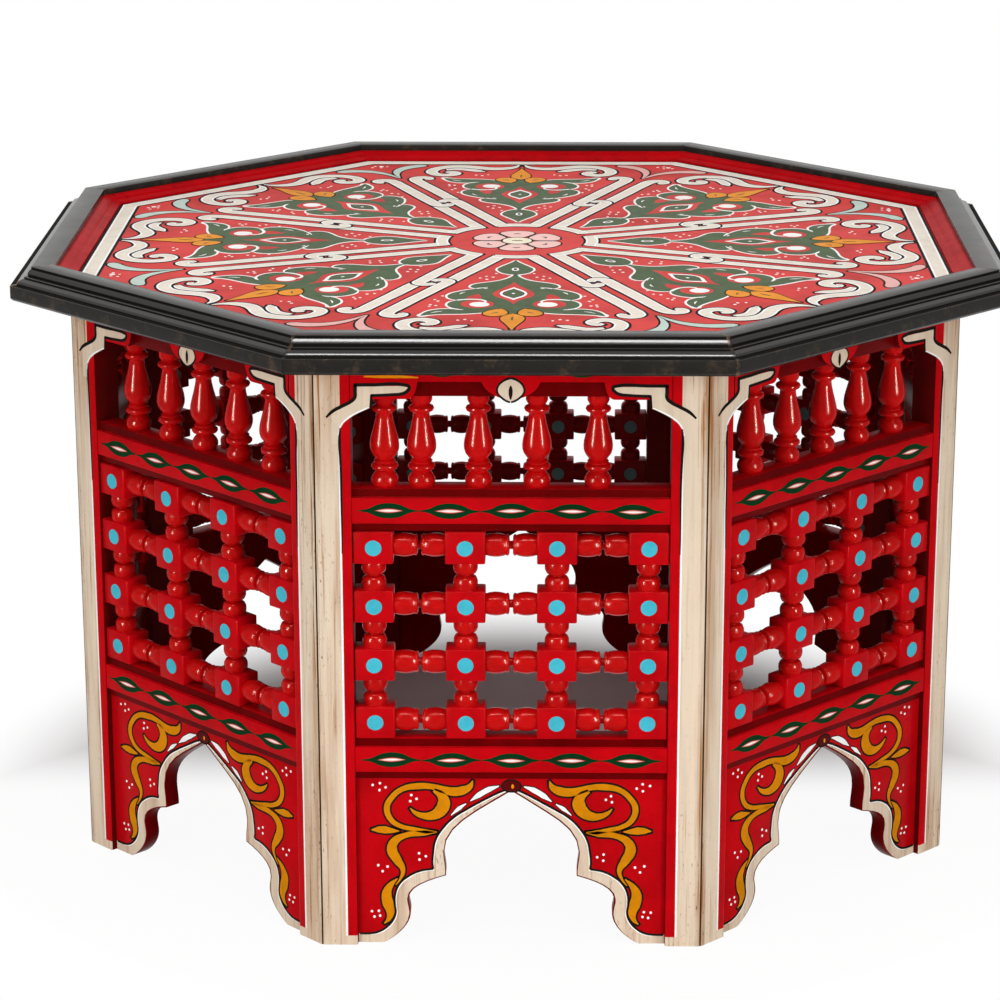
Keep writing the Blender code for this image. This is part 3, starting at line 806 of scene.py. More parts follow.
LEVEL_BEADS = (
    (0, 3.0), (1.1, 3.0), (1.3, 6.2), (1.8, 7.4), (2.6, 7.8), (3.4, 7.5), (3.9, 7.2), (5.2, 7.8), (8.5, 8.45),
    (11.5, 8.6), (15, 8.2), (18.2, 7.4), (21.4, 6.4), (21.5, 0),
)
UPRIGHT_BEADS = (
    (0, 4.2), (0.4, 4.4), (0.7, 6.2), (1.8, 7.8), (4, 8.7), (6.5, 8.8), (9, 8.5), (11.4, 8.2), (11.5, 0),
)
BALUSTER = (
    (0, 0), (0, 8.0), (1.5, 9.1), (3.6, 9.6), (5.8, 9.5), (8.0, 8.5), (10.0, 6.8), (11.0, 5.8), (11.6, 6.6),
    (12.5, 8.7), (13.8, 9.6), (15.2, 9.5), (16.4, 8.4), (17.0, 7.3), (17.6, 7.3), (18.3, 7.7), (19.0, 7.1),
    (19.5, 6.1), (21.2, 7.3), (24.0, 9.3), (26.8, 10.2), (29.5, 10.4), (33.5, 10.0), (38.2, 8.9), (43.6, 7.4),
    (48.9, 6.2), (52.6, 5.7), (53.6, 6.3), (54.8, 8.3), (56.4, 9.1), (57.8, 8.5), (58.9, 6.4), (59.6, 5.9),
    (60.5, 6.8), (62.5, 7.8), (66.6, 7.8), (66.8, 0),
)
BEAD_STEPS = 14
BALUSTER_STEPS = 20
FRONT_BALUSTERS = (-0.089, -0.063, -0.023, 0.018, 0.061)
EVEN_BALUSTERS = (-0.078, -0.039, 0.0, 0.039, 0.078)

# Outline of the arched apron, left half from its apex to the foot, in millimetres
ARCH = [
    (0, 119, True), (-49, 71, True), (-47.5, 53, True), (-74.8, 34, True), (-73.5, 22, True), (-93, 0, True),
]
ARCH_RUNS = {
    0: ((0.55, 0.36), (0, 0.42)), 1: ((0, 0.33), (-0.33, 0.33)), 2: ((0.5, 0.21), (0, 0.53)),
    3: ((0, 0.33), (-0.46, 0.33)), 4: ((0.05, 0.41), (0.41, 0.18)),
}


def mirrored_loop(half, half_runs, middle=()):
    """A closed outline and its runs from its left half, with any knots on the middle line between."""
    knots = list(half) + list(middle) + [(-knot[0], *knot[1:]) for knot in reversed(half[1:])]
    runs = {}
    for index, run in half_runs.items():
        runs[index] = run
        runs[len(knots) - 1 - index] = (run[1], run[0])
    return knots, runs


def board(half, runs, thickness, steps, arris):
    """A board with that left half of its outline, drawn in millimetres, and rounded arrises."""
    bm = filled([mirrored_loop(half, runs)], 0.0, steps, -thickness * 1000)
    round_edges(bm, sharp_edges(bm, 60.0), arris * 1000)
    # Faces other than the front get the darker red, painted shade on the board's edges
    for face in bm.faces:
        face.material_index = RAIL.index("joinery_red" if face.normal.z > 0.5 else "red_recess_shade")
    return bm


def apron_board(arris):
    """The arched board of the apron."""
    edge = SNUG_HALF * 1000
    half = ARCH + [(-edge, 0, True), (-edge, (APRON_TOP - APRON_LAP) * 1000, True)]
    return board(half, ARCH_RUNS, APRON_THICKNESS, 10, arris)


def fascia_board(arris):
    """The scalloped board of the top rail."""
    top = BODY_HEIGHT * 1000
    edge = SNUG_HALF * 1000
    half = [
        (0, top - 27.5, True), (-20.5, top - 14.5, True), (-(edge - 47.0), top - 14.5, True),
        (-(edge - 39.5), top - 27, True), (-(edge - 14), top - 27, True), (-(edge - 14), top - 33.5, True),
        (-edge, top - 39, True), (-edge, top, True),
    ]
    runs = {
        0: ((0.45, 0.08), (0.15, 0.62)), 2: ((0.13, 0.48), (0.67, 0.0)), 5: ((0.36, 0.27), (0.29, 0.55)),
    }
    return board(half, runs, FASCIA_THICKNESS, 8, arris)


def stile_shape(sign, sizes):
    """One mitred stile in a side's frame, its face split where the cream, its lines and the red meet."""
    corner = HALF_SIDE - JOINT
    plan = [
        (OPENING_HALF, 0), (corner, 0), (corner - STILE_DEPTH * MITRE, STILE_DEPTH),
        (OPENING_HALF, STILE_DEPTH),
    ]
    bm = plate(plan, BODY_HEIGHT)
    outer = [edge for edge in bm.edges if edge_span(edge, 2) > 0.1 and edge.verts[0].co.y < 0.0001]
    round_edges(bm, outer, sizes.stile_round, 3)
    edge = sizes.cream_edge
    white = edge - sizes.white_line
    worn = corner - sizes.worn_edge
    foot = sizes.plain_foot
    head = BODY_HEIGHT - sizes.plain_head
    for x in (edge, white, worn):
        split(bm, (x, 0, 0), (1, 0, 0))
    for z in (foot, head):
        split(bm, (0, 0, z), (0, 0, 1))
    bmesh.ops.recalc_face_normals(bm, faces=bm.faces)
    for face in bm.faces:
        middle = face.calc_center_median()
        if middle.x > worn and face.normal.y > -0.7 and abs(face.normal.z) < 0.5:
            finish = "seam"
        # A stile's inner reveal and its back face get maroon, painted shade for the recess
        elif face.normal.y > -0.3 and (face.normal.x < -0.5 or face.normal.y > 0.5):
            finish = "maroon_and_shade"
        elif middle.x > worn:
            finish = "cream_worn"
        elif middle.x > edge or middle.z < foot or face.normal.z < -0.5:
            finish = "cream"
        elif middle.x > white:
            finish = "cream" if middle.z > head else "white"
        else:
            finish = "joinery_red"
        face.material_index = STILE.index(finish)
    if sign < 0:
        bmesh.ops.scale(bm, vec=(-1, 1, 1), verts=bm.verts)
        bmesh.ops.recalc_face_normals(bm, faces=bm.faces)
    return bm


def rim_shape(arris, worn_width):
    """One mitred length of the rim moulding in a side's frame."""
    low = RIM_LOW * 1000
    high = RIM_HIGH * 1000
    panel = PANEL_TOP * 1000
    section = [
        (344.8, low), (344.8, panel - 2.7), (329.1, panel - 2.7), (329.1, panel + 1.5), (335, panel + 3.2),
        (336, panel + 4.4), (340.5, high - 5), (343, high - 5), (343, high), (359.5, high),
        (359.5, high - 2.1), (360.2, high - 2.1), (362.2, high - 4.9), (362.2, high - 7),
        (364.8, high - 7.4), (364.8, high - 8.7), (369.4, high - 10.3), (370.4, high - 11.6),
        (370.4, high - 12.6), (375, high - 13.1), (375, low + 2), (373, low),
    ]
    bm = filled([[(apothem, height, True) for apothem, height in section]], 100.0, 1, -100.0)
    for vert in bm.verts:
        apothem = vert.co.x * 0.001
        height = vert.co.y * 0.001
        end = apothem * MITRE - JOINT
        vert.co = (math.copysign(end, vert.co.z), BODY_APOTHEM - apothem, height)
    bmesh.ops.recalc_face_normals(bm, faces=bm.faces)
    long_edges = [
        edge for edge in sharp_edges(bm, 28.0)
        if edge_span(edge, 0) > 0.1 and edge.calc_face_angle_signed(0.0) > 0
    ]
    rounded = set(round_edges(bm, long_edges, arris)["faces"])
    for face in bm.faces:
        middle = face.calc_center_median()
        apothem = BODY_APOTHEM - middle.y
        stepped = 0.3593 < apothem < 0.3749 and RIM_HIGH - 0.0131 < middle.z < RIM_HIGH - 0.0001
        ledge = apothem > 0.3708 and middle.z < RIM_HIGH - 0.0122
        if apothem < 0.3425:
            finish = "cove_red"
        # Upright and ledge faces in the stepped band are the grooves, darkened as painted shade
        elif stepped and face not in rounded and (abs(face.normal.z) < 0.35 or ledge):
            finish = "rim_groove_shade"
        elif stepped:
            finish = "rim_polished"
        else:
            finish = "rim_rubbed" if face in rounded else "rim_black"
        face.material_index = RIM.index(finish)
    cove = RIM.index("cove_red")
    for sign in (-1, 1):
        outward = Vector((sign * math.cos(EIGHTH / 2), math.sin(EIGHTH / 2), 0))
        start = Vector((0, BODY_APOTHEM, 0)) - outward * worn_width
        split(bm, start, outward)
        for face in bm.faces:
            beyond = (face.calc_center_median() - start).dot(outward) > 0
            if beyond and face.material_index != cove:
                face.material_index = RIM.index("rim_corner")
    return bm


# Pieces of the table

class TABLE_OT_stiles(bpy.types.Operator):
    """Dress the sixteen stiles in antique cream with a red inner edge"""

    bl_idname = "table.stiles"
    bl_label = "Stiles"

    def execute(self, context):
        for sign, hand in ((-1, "left"), (1, "right")):
            shapes = [(stile_shape(sign, context.scene.table_sizes), [Matrix()])]
            dress_sides(f"{hand}_post", f"stile_{hand}", shapes, STILE, 30.0)
        return {"FINISHED"}


class TABLE_OT_aprons(bpy.types.Operator):
    """Dress the arched aprons and the lower rails"""

    bl_idname = "table.aprons"
    bl_label = "Aprons"

    def execute(self, context):
        arris = context.scene.table_sizes.arris
        lift = Matrix.Translation((0, 0, APRON_TOP - RAIL_HEIGHT))
        shapes = [(apron_board(arris), [standing(APRON_SETBACK)]), (rail_shape(arris), [lift])]
        dress_sides("arched_apron", "apron", shapes, RAIL)
        return {"FINISHED"}


class TABLE_OT_screens(bpy.types.Operator):
    """Dress the turned screens: blocks, level spindles and upright spindles"""

    bl_idname = "table.screens"
    bl_label = "Screens"

    def execute(self, context):
        finishes = ("joinery_red", "red_turned", "red_shade")
        size = (BLOCK_WIDTH, BLOCK_DEPTH, BLOCK_HEIGHT)
        block = cuboid(size, (0, 0, 0), context.scene.table_sizes.block_arris)
        level = turned(mirror_profile(LEVEL_BEADS), BEAD_STEPS, Vector((1, 0, 0)))
        upright = turned(mirror_profile(UPRIGHT_BEADS), BEAD_STEPS, Vector((0, 0, 1)))
        shade_inside(block, finishes, "joinery_red")
        shade_inside(level, finishes, "red_turned")
        shade_inside(upright, finishes, "red_turned")
        columns, rows = block_grid()
        depth = BLOCK_SETBACK + BLOCK_DEPTH / 2

        def places(xs, zs):
            return [Matrix.Translation((x, depth, z)) for x in xs for z in zs]

        between_columns = [(x + beside) / 2 for x, beside in zip(columns, columns[1:])]
        between_rows = [(z + above) / 2 for z, above in zip(rows, rows[1:])]
        shapes = [
            (block, places(columns, rows)),
            (level, places(between_columns, rows)),
            (upright, places(columns, between_rows)),
        ]
        dress_sides("turned_screen", "lattice", shapes, finishes, 50.0)
        return {"FINISHED"}


class TABLE_OT_galleries(bpy.types.Operator):
    """Dress the middle rails and their turned balusters"""

    bl_idname = "table.galleries"
    bl_label = "Galleries"

    def execute(self, context):
        finishes = RAIL + ("red_turned", "red_shade")
        rail = rail_shape(context.scene.table_sizes.arris)
        lift = Matrix.Translation((0, 0, GALLERY_LOW))
        baluster = turned(BALUSTER, BALUSTER_STEPS, Vector((0, 0, 1)))
        shade_inside(baluster, finishes, "red_turned")
        foot = GALLERY_HIGH - BALUSTER_HEIGHT
        for sides, spots in ((SIDES[:1], FRONT_BALUSTERS), (SIDES[1:], EVEN_BALUSTERS)):
            places = [Matrix.Translation((x, BALUSTER_SETBACK, foot)) for x in spots]
            shapes = [(rail, [lift]), (baluster, places)]
            dress_sides("gallery", "baluster_gallery", shapes, finishes, 50.0, sides)
        return {"FINISHED"}


class TABLE_OT_top_rails(bpy.types.Operator):
    """Dress the scalloped fascias and the bars behind them"""

    bl_idname = "table.top_rails"
    bl_label = "Top rails"

    def execute(self, context):
        arris = context.scene.table_sizes.arris
        size = (2 * SNUG_HALF, BAR_DEPTH, BODY_HEIGHT - GALLERY_HIGH - BAR_GAP)
        bar = cuboid(size, (0, BAR_MIDDLE, (BODY_HEIGHT + GALLERY_HIGH) / 2), arris)
        # The bar behind the fascia is all darker red, painted shade under the fascia
        for face in bar.faces:
            face.material_index = RAIL.index("red_recess_shade")
        shapes = [(fascia_board(arris), [standing(0.0)]), (bar, [Matrix()])]
        dress_sides("scalloped_rail", "top_rail", shapes, RAIL)
        return {"FINISHED"}


class TABLE_OT_rim(bpy.types.Operator):
    """Dress the mitred rim moulding in black lacquer with rubbed edges"""

    bl_idname = "table.rim"
    bl_label = "Rim"

    def execute(self, context):
        sizes = context.scene.table_sizes
        shapes = [(rim_shape(sizes.rim_arris, sizes.worn_mitre), [Matrix()])]
        dress_sides("rim", "rim_moulding", shapes, RIM, 30.0)
        return {"FINISHED"}


class TABLE_OT_panel(bpy.types.Operator):
    """Finish the top panel and paint the octagonal border on it"""

    bl_idname = "table.panel"
    bl_label = "Panel"

    def execute(self, context):
        sizes = context.scene.table_sizes
        frame["nodes"]["top_panel"].material_slots[0].material = finish_named("rose")

        def octagon(apothem):
            reach = apothem * 1000 / math.cos(EIGHTH / 2)
            turns = [EIGHTH * (number + 0.5) for number in range(8)]
            return [(reach * math.cos(turn), reach * math.sin(turn), True) for turn in turns]

        outer = sizes.border_outer
        inner = sizes.border_inner
        line = sizes.outline * 1.2
        edge = line + BORDER_WHITE
        layers = [
            (filled([octagon(outer), octagon(inner)], UNDER_BAND[0], 2), "line"),
            (filled([octagon(outer - line), octagon(inner + line)], UNDER_BAND[1], 2), "white"),
            (filled([octagon(outer - edge), octagon(inner + edge)], UNDER_BAND[2], 2), "ivory"),
        ]
        paint_piece("top_border", layers, [drawing_on_top(0.0)], BAND)
        return {"FINISHED"}


class TABLE_OT_strapwork(bpy.types.Operator):
    """Paint the interlaced bands along the lines between the sectors"""

    bl_idname = "table.strapwork"
    bl_label = "Strapwork"

    def execute(self, context):
        line = context.scene.table_sizes.outline * 1000
        hook = [
            (-10, 248, 5.5), (-10.3, 258, 5.5), (-13, 265.5, 5.5), (-18.6, 267.5, 5.4),
            (-22.6, 263.6, 5.0), (-22, 259.0, 4.2), (-19.4, 257.4, 2.0),
        ]
        over_left = [
            (1.6, 155.4, 2.2), (0.2, 151.2, 4.2), (-4.6, 148.6, 4.9), (-9.2, 152.0, 5.2),
            (-10, 160, 5.4), (-10, 175, 5.5), (-10, 212, 5.5), *hook,
        ]
        under_left = [(-10, 56, 5.5), (-10, 100, 5.5), (-10, 152, 5.5)]
        half_turn = [(-x, 316.4 - y, half) for x, y, half in over_left[:6]]
        over_right = half_turn + [(10, 110, 5.5), (10, 56, 5.5)]
        under_right = [(10, 166, 5.5), (10, 212, 5.5)] + mirrored([hook])[0][::-1]
        layers = band_layers([under_left, under_right], line, UNDER_BAND)
        layers += band_layers([over_left, over_right], line, OVER_BAND)
        paint_piece("top_strapwork", layers, spokes(), BAND)
        bridge = [[(-16.8, 56.7, 4.8), (-8, 58.5, 4.8), (0, 59, 4.8), (8, 58.5, 4.8), (16.8, 56.7, 4.8)]]
        layers = band_layers(bridge, line, BRIDGE_BAND)
        paint_piece("top_bridges", layers, sectors(), BAND)
        return {"FINISHED"}


PALMETTE = [
    (1.3, 119.5, True), (2.6, 124), (5.6, 130.5), (10, 136.3), (16, 141), (23, 145), (29, 149.5),
    (31.6, 155), (31.2, 159.8), (27.5, 163.5, True), (33.5, 167.5), (40.5, 173.5), (45.8, 180.5),
    (47.5, 188), (45.5, 195.5), (40.3, 200.5, True), (44.8, 205.5), (46.8, 212), (46, 219), (43, 224.5),
    (39.5, 228.3, True), (47, 227.5), (54, 229.3), (60, 234.3), (63.3, 241), (65, 248.5, True),
    (58.5, 245.4), (51, 243.4), (42, 242.6), (33, 241.6), (25, 239.5), (17, 235.3), (11.5, 229.8),
    (8.6, 227.5, True), (7.6, 233), (5.6, 239), (2.6, 243), (0, 244.3),
]
OGIVE = [
    (0, 142.5, True), (3, 151), (8, 162), (13, 172), (15, 181), (12.5, 189), (7, 196), (2.5, 204),
    (0, 213, True),
]
PATCH = [(23, 196.3, True), (33.3, 196.6, True), (33, 190), (29, 184), (25.5, 180.5, True), (23.4, 187)]
DROP = [(0, 70, True), (2, 75), (5.5, 82), (10.5, 91), (13.5, 99), (12.5, 106), (7.5, 114.5), (0, 118, True)]
MIDDLE_PETAL = [(0, 241.5, True), (5, 245.5), (8.2, 253), (7.8, 261), (5.0, 271), (2.0, 282), (0, 290, True)]
SIDE_PETAL = [
    (8, 226.8, True), (13.5, 229.3), (19, 235), (21, 241.5), (18.6, 247), (13, 249.2), (7.6, 247.2),
    (4.2, 242.5), (4, 236), (5.8, 230.5),
]


def outline_stroke(loop, half):
    """A closed outline as a stroke of even width."""
    closed = list(loop) + [loop[0]]
    return [(knot[0], knot[1], half) for knot in closed]


def rim_of(loop, by):
    """The outline moved outwards by a little."""
    moved = []
    count = len(loop)
    for index, knot in enumerate(loop):
        before = Vector(loop[index - 1][:2])
        after = Vector(loop[(index + 1) % count][:2])
        along = (after - before).normalized()
        moved.append((knot[0] + along.y * by, knot[1] - along.x * by, *knot[2:]))
    return moved


class TABLE_OT_palmettes(bpy.types.Operator):
    """Paint the green palmettes, their drop leaves and the ochre tulips"""

    bl_idname = "table.palmettes"
    bl_label = "Palmettes"

    def execute(self, context):
        palmette = whole(PALMETTE)
        drop = whole(DROP)
        curls = [disc(25.5, 212, 12), disc(-25.5, 212, 12)]
        holes = [whole(OGIVE)] + curls + both([PATCH])
        ovals = [disc(24, 213.3, 7.2), disc(-24, 213.3, 7.2)]
        diamond = whole([(0, 159, True), (10, 179.5), (0, 199, True)])
        kernel = whole([(0, 164.5, True), (7.2, 179.5), (0, 193, True)])
        notches = both([
            [(27.5, 163.5, 1.2), (23.5, 161.3, 0.9), (19, 159.5, 0.3)],
            [(40.3, 200.5, 1.3), (34, 198.2, 1.3), (27, 197.8, 1.2), (21.5, 200.2, 1.1), (19.6, 204.5, 1.0),
             (20.5, 208, 0.8)],
            [(35, 229.8, 0.3), (39.5, 228.3, 1.2), (43.5, 225.5, 0.9)],
        ])
        dashes = both([
            [(50, 234.5, 0.2), (54, 236.5, 0.8), (58, 240, 0.2)],
            [(35, 175, 0.2), (37.5, 178, 0.8), (39, 182, 0.2)],
            [(19, 162.2, 0.4), (20.5, 163, 1.0), (22, 164, 0.4)],
        ])
        layers = [
            (stroked([outline_stroke(palmette, 1.8)], UNDER_LINE), "white"),
            (filled([palmette] + holes, UNDER_PAINT), "green"),
            (filled(holes, UNDER_LINE + 0.02), "rose"),
            (filled(ovals, UNDER_PAINT), "white"),
            (filled([diamond], UNDER_PAINT), "white"),
            (filled([rim_of(kernel, 0.8)], UNDER_PAINT + 0.02), "line"),
            (filled([kernel], OVER_LINE), "green"),
            (filled([disc(0, 179, 1.2, 1.5)], OVER_PAINT), "white"),
            (stroked(notches, OVER_LINE), "white"),
            (stroked(dashes, OVER_LINE), "white"),
            (stroked([outline_stroke(drop, 1.6)], UNDER_LINE), "white"),
            (filled([drop], UNDER_PAINT), "green"),
            (filled([disc(0, 100, 2.7, 5.2)], OVER_LINE), "white"),
            (filled([disc(0, 100, 1.2, 3.1)], OVER_PAINT), "line"),
        ]
        paint_piece("top_palmettes", layers, sectors(ORNAMENT_SIZE), ("green", "white", "rose", "line"))
        petals = [whole(MIDDLE_PETAL)] + both([SIDE_PETAL])
        edges = [outline_stroke(petal, 1.0) for petal in petals]
        marks = both([[(10, 236.5, 0.3), (12.5, 239.3, 0.9), (15.5, 240.6, 0.3)]])
        marks.append([(0, 250, 0.3), (0.3, 256, 1.0), (0.2, 261, 0.3)])
        layers = [
            (stroked(edges[:1], OVER_LINE), "line"),
            (filled(petals[:1], OVER_PAINT), "ochre"),
            (stroked(edges[1:], OVER_PAINT + 0.02), "line"),
            (filled(petals[1:], DETAIL), "ochre"),
            (stroked(marks, FINE), "brown"),
        ]
        paint_piece("top_tulips", layers, sectors(ORNAMENT_SIZE), ("ochre", "line", "brown"))
        return {"FINISHED"}


class TABLE_OT_brackets(bpy.types.Operator):
    """Paint the scrolled brackets under the border, the corner leaves and the dots"""

    bl_idname = "table.brackets"
    bl_label = "Brackets"

    def execute(self, context):
        line = context.scene.table_sizes.outline * 1000
        scroll = [
            (2.5, 296, 0.6), (5.5, 288, 2.5), (12, 282, 4.5), (21, 279.5, 5.2), (31, 282, 5.3),
            (41, 287, 5.3), (51, 289.5, 5.2), (61, 287, 5.2), (69.5, 280, 5.0), (73.5, 270, 5.0),
            (72.5, 260, 4.8), (66.5, 253, 4.7), (58, 253.5, 5.0), (54, 260, 5.0), (57.5, 265.5, 3.8),
            (61.5, 262.8, 1.8),
        ]
        tongue = [(62, 276, 3.0), (51, 278.5, 4.0), (43, 275.5, 4.3), (36, 271, 4.0), (30, 267.5, 0.8)]
        layers = band_layers(both([tongue]), line, UNDER_BAND)
        layers += band_layers(both([scroll]), line, OVER_BAND)
        paint_piece("top_brackets", layers, sectors(BRACKET_SIZE), BAND)
        leaf = [
            (0.5, 272, 0.4), (3, 287, 1.9), (8, 300, 3.4), (16.5, 310, 4.6), (27, 315.5, 5.4),
            (35.5, 316.6, 5.0), (39.5, 316.2, 3.2), (41, 315.8, 1.0),
        ]
        leaves = both([leaf])
        for tint, chosen in (("celadon", (0, 1, 2, 4, 6)), ("pink", (3, 5, 7))):
            places = [spokes()[index] for index in chosen]
            layers = [
                (stroked(leaves, UNDER_LINE, line * 0.9), "line"),
                (stroked(leaves, UNDER_PAINT), tint),
            ]
            paint_piece(f"top_corner_leaves_{tint}", layers, places, (tint, "line"))
        spots = [
            (14, 114, 1.1), (16, 126, 1.2), (20.5, 133, 1.2), (25.5, 129, 1.1), (21, 123, 1.1),
            (55, 217, 1.2), (59.5, 219.5, 1.1), (59, 214.5, 1.1), (54, 203, 1.2), (56.5, 198, 1.1),
            (51, 187, 1.1), (33, 258.5, 1.2), (38, 260.5, 1.2), (28, 262, 1.0),
        ]
        dots = both([disc(*spot) for spot in spots])
        paint_piece("top_dots", [(filled(dots, UNDER_PAINT, 2), "white")], sectors(ORNAMENT_SIZE), ("white",))
        corner = [(-6, 325, 1.2), (-2, 329, 1.3), (3, 326.5, 2.2), (7.5, 324.5, 1.2), (1, 321.5, 1.0)]
        dots = [disc(*spot) for spot in corner]
        paint_piece("top_corner_dots", [(filled(dots, UNDER_PAINT, 2), "white")], spokes(), ("white",))
        return {"FINISHED"}


class TABLE_OT_medallion(bpy.types.Operator):
    """Paint the rosette in the middle of the top"""

    bl_idname = "table.medallion"
    bl_label = "Medallion"

    def execute(self, context):
        line = context.scene.table_sizes.outline * 1000
        petal = whole([(0, 11.0, True), (5.4, 13.8), (10.4, 21), (13.4, 28.2), (9.3, 34), (0, 36.2)])
        mark = [[(-2.8, 24.2, 0.4), (0, 26, 1.2), (2.8, 24.2, 0.4)]]
        ring = [drawing_on_top(math.radians(60 * number)) for number in range(6)]
        layers = [
            (stroked([outline_stroke(petal, line * 0.8)], UNDER_LINE), "line"),
            (filled([petal], UNDER_PAINT), "petal"),
            (stroked(mark, OVER_LINE), "line"),
        ]
        paint_piece("top_rosette_petals", layers, ring, ("petal", "line"))
        crown = [[(-4.2, -1.2, 0.4), (-2, 1.2, 1.2), (0, -0.6, 0.8), (2, 1.2, 1.2), (4.2, -1.2, 0.4)]]
        layers = [
            (filled([disc(0, 0, 13.2)], OVER_LINE), "line"),
            (filled([disc(0, 0, 11.6)], OVER_PAINT), "butter"),
            (stroked(crown, DETAIL), "brown"),
        ]
        paint_piece("top_rosette_eye", layers, [drawing_on_top(0.0)], ("butter", "line", "brown"))
        return {"FINISHED"}


class TABLE_OT_rail_leaves(bpy.types.Operator):
    """Paint the leaf chains on the rails and the dots on the blocks"""

    bl_idname = "table.rail_leaves"
    bl_label = "Rail leaves"

    def execute(self, context):
        upper = [
            (-22.2, 0.25, True), (-15, 1.4), (-8, 4.4), (0, 5.6), (8, 4.4), (15, 1.4), (22.2, 0.25, True),
        ]
        leaf = upper[::-1] + [(x, -y, *corner) for x, y, *corner in upper]

        def slit(x, across, up):
            return [(x - across, 0, True), (x, up), (x + across, 0, True), (x, -up)]

        middles = (-86, -43, 0, 43, 86)
        leaves = [[(x + knot[0], *knot[1:]) for knot in leaf] for x in middles]
        layers = [
            (filled(leaves, UNDER_LINE), "rail_green"),
            (filled([slit(x, 10.6, 1.7) for x in middles], UNDER_PAINT), "joinery_red"),
            (filled([slit(x, 9.4, 1.25) for x in middles], OVER_LINE), "pink"),
            (filled([slit(x, 7.0, 0.5) for x in middles], OVER_PAINT), "white"),
        ]
        places = []
        for low in (APRON_TOP - RAIL_HEIGHT, GALLERY_LOW):
            places += on_sides(standing(RAIL_FACE_SETBACK, low + RAIL_HEIGHT / 2))
        paint_piece("rail_leaves", layers, places, ("rail_green", "joinery_red", "pink", "white"))
        radius = context.scene.table_sizes.dot_radius * 1000
        columns, rows = block_grid()
        dots = [disc(x * 1000, z * 1000, radius) for x in columns for z in rows]
        inner = standing(BLOCK_SETBACK + BLOCK_DEPTH, turn=math.pi)
        # The dots on the blocks' inner faces take the darker dot paint, painted shade
        for name, tint, place in (
            ("block_dots", "turquoise", standing(BLOCK_SETBACK)), ("inner_dots", "shaded_turquoise_dot", inner)
        ):
            paint_piece(name, [(filled(dots, UNDER_PAINT), tint)], on_sides(place), (tint,))
        return {"FINISHED"}


BAND_EDGE_LOW = [
    (-110.9, 6.8), (-103.5, 7.0), (-97.3, 8.2), (-91.6, 11.6), (-86.9, 16.8), (-84.3, 23.5), (-84.9, 30),
    (-84.6, 38), (-81.2, 46.3), (-74.5, 52.5), (-66.2, 56.6), (-57, 58.2),
]
BAND_EDGE_HIGH = [
    (-57, 58.2), (-57.6, 62), (-57.2, 70.1), (-55.4, 80.2), (-49.8, 89.8), (-41.4, 98.6), (-33.6, 103.8),
    (-20.7, 111.4), (-9.3, 117.4), (0, 121.4),
]
SCROLLS = [
    [(-28, 124.5, 0.3), (-30, 120, 2.2), (-35, 117.2, 3.2), (-42, 116.2, 3.2), (-50, 117.8, 2.6),
     (-58, 120, 2.0), (-67.8, 120.2, 2.3), (-79, 118, 1.9), (-87.2, 111, 2.0), (-90.4, 103.9, 2.2),
     (-87.8, 95.5, 2.0), (-80.5, 90.5, 1.6), (-70, 88, 1.5), (-62, 86.2, 1.6), (-54.5, 86, 0.3)],
    [(-56, 117.5, 1.5), (-50.5, 113, 3.2), (-49, 107.5, 4.6), (-51.5, 102, 4.4), (-57.5, 98.3, 3.3),
     (-64.5, 98.3, 2.2), (-70, 100.8, 1.4), (-73.3, 104, 0.3)],
    [(-102, 87.3, 0.3), (-97, 87.6, 2.2), (-92, 87.5, 2.7), (-87, 87, 1.8), (-81.5, 86.8, 0.3)],
    [(-54.5, 85.6, 0.3), (-63.3, 85, 2.0), (-77.8, 83.3, 2.0), (-85.6, 78.3, 3.2), (-87, 72.5, 3.8),
     (-83.3, 65, 3.2), (-79, 57.2, 1.7), (-81, 50.6, 0.8), (-84.4, 46, 0.3)],
    [(-83, 51, 0.3), (-88.5, 45.5, 2.2), (-91.3, 39, 3.6), (-90.3, 32, 4.0), (-88.5, 25.5, 3.0),
     (-90, 20, 1.6), (-93.3, 16.7, 0.3)],
]
APRON_DOTS = [
    (-100.6, 121.3), (-95.3, 122.6), (-91.1, 119.4), (-95.6, 117.4), (-72.4, 113.6), (-68.6, 110.9),
    (-73.1, 109.1), (-67.4, 69.7), (-62.6, 67.6), (-67.1, 65), (-97, 60.8), (-90.2, 59.8), (-93.9, 56.3),
    (-102.1, 26), (-97, 26.3), (-96.1, 22.6), (-100.3, 21.9),
]


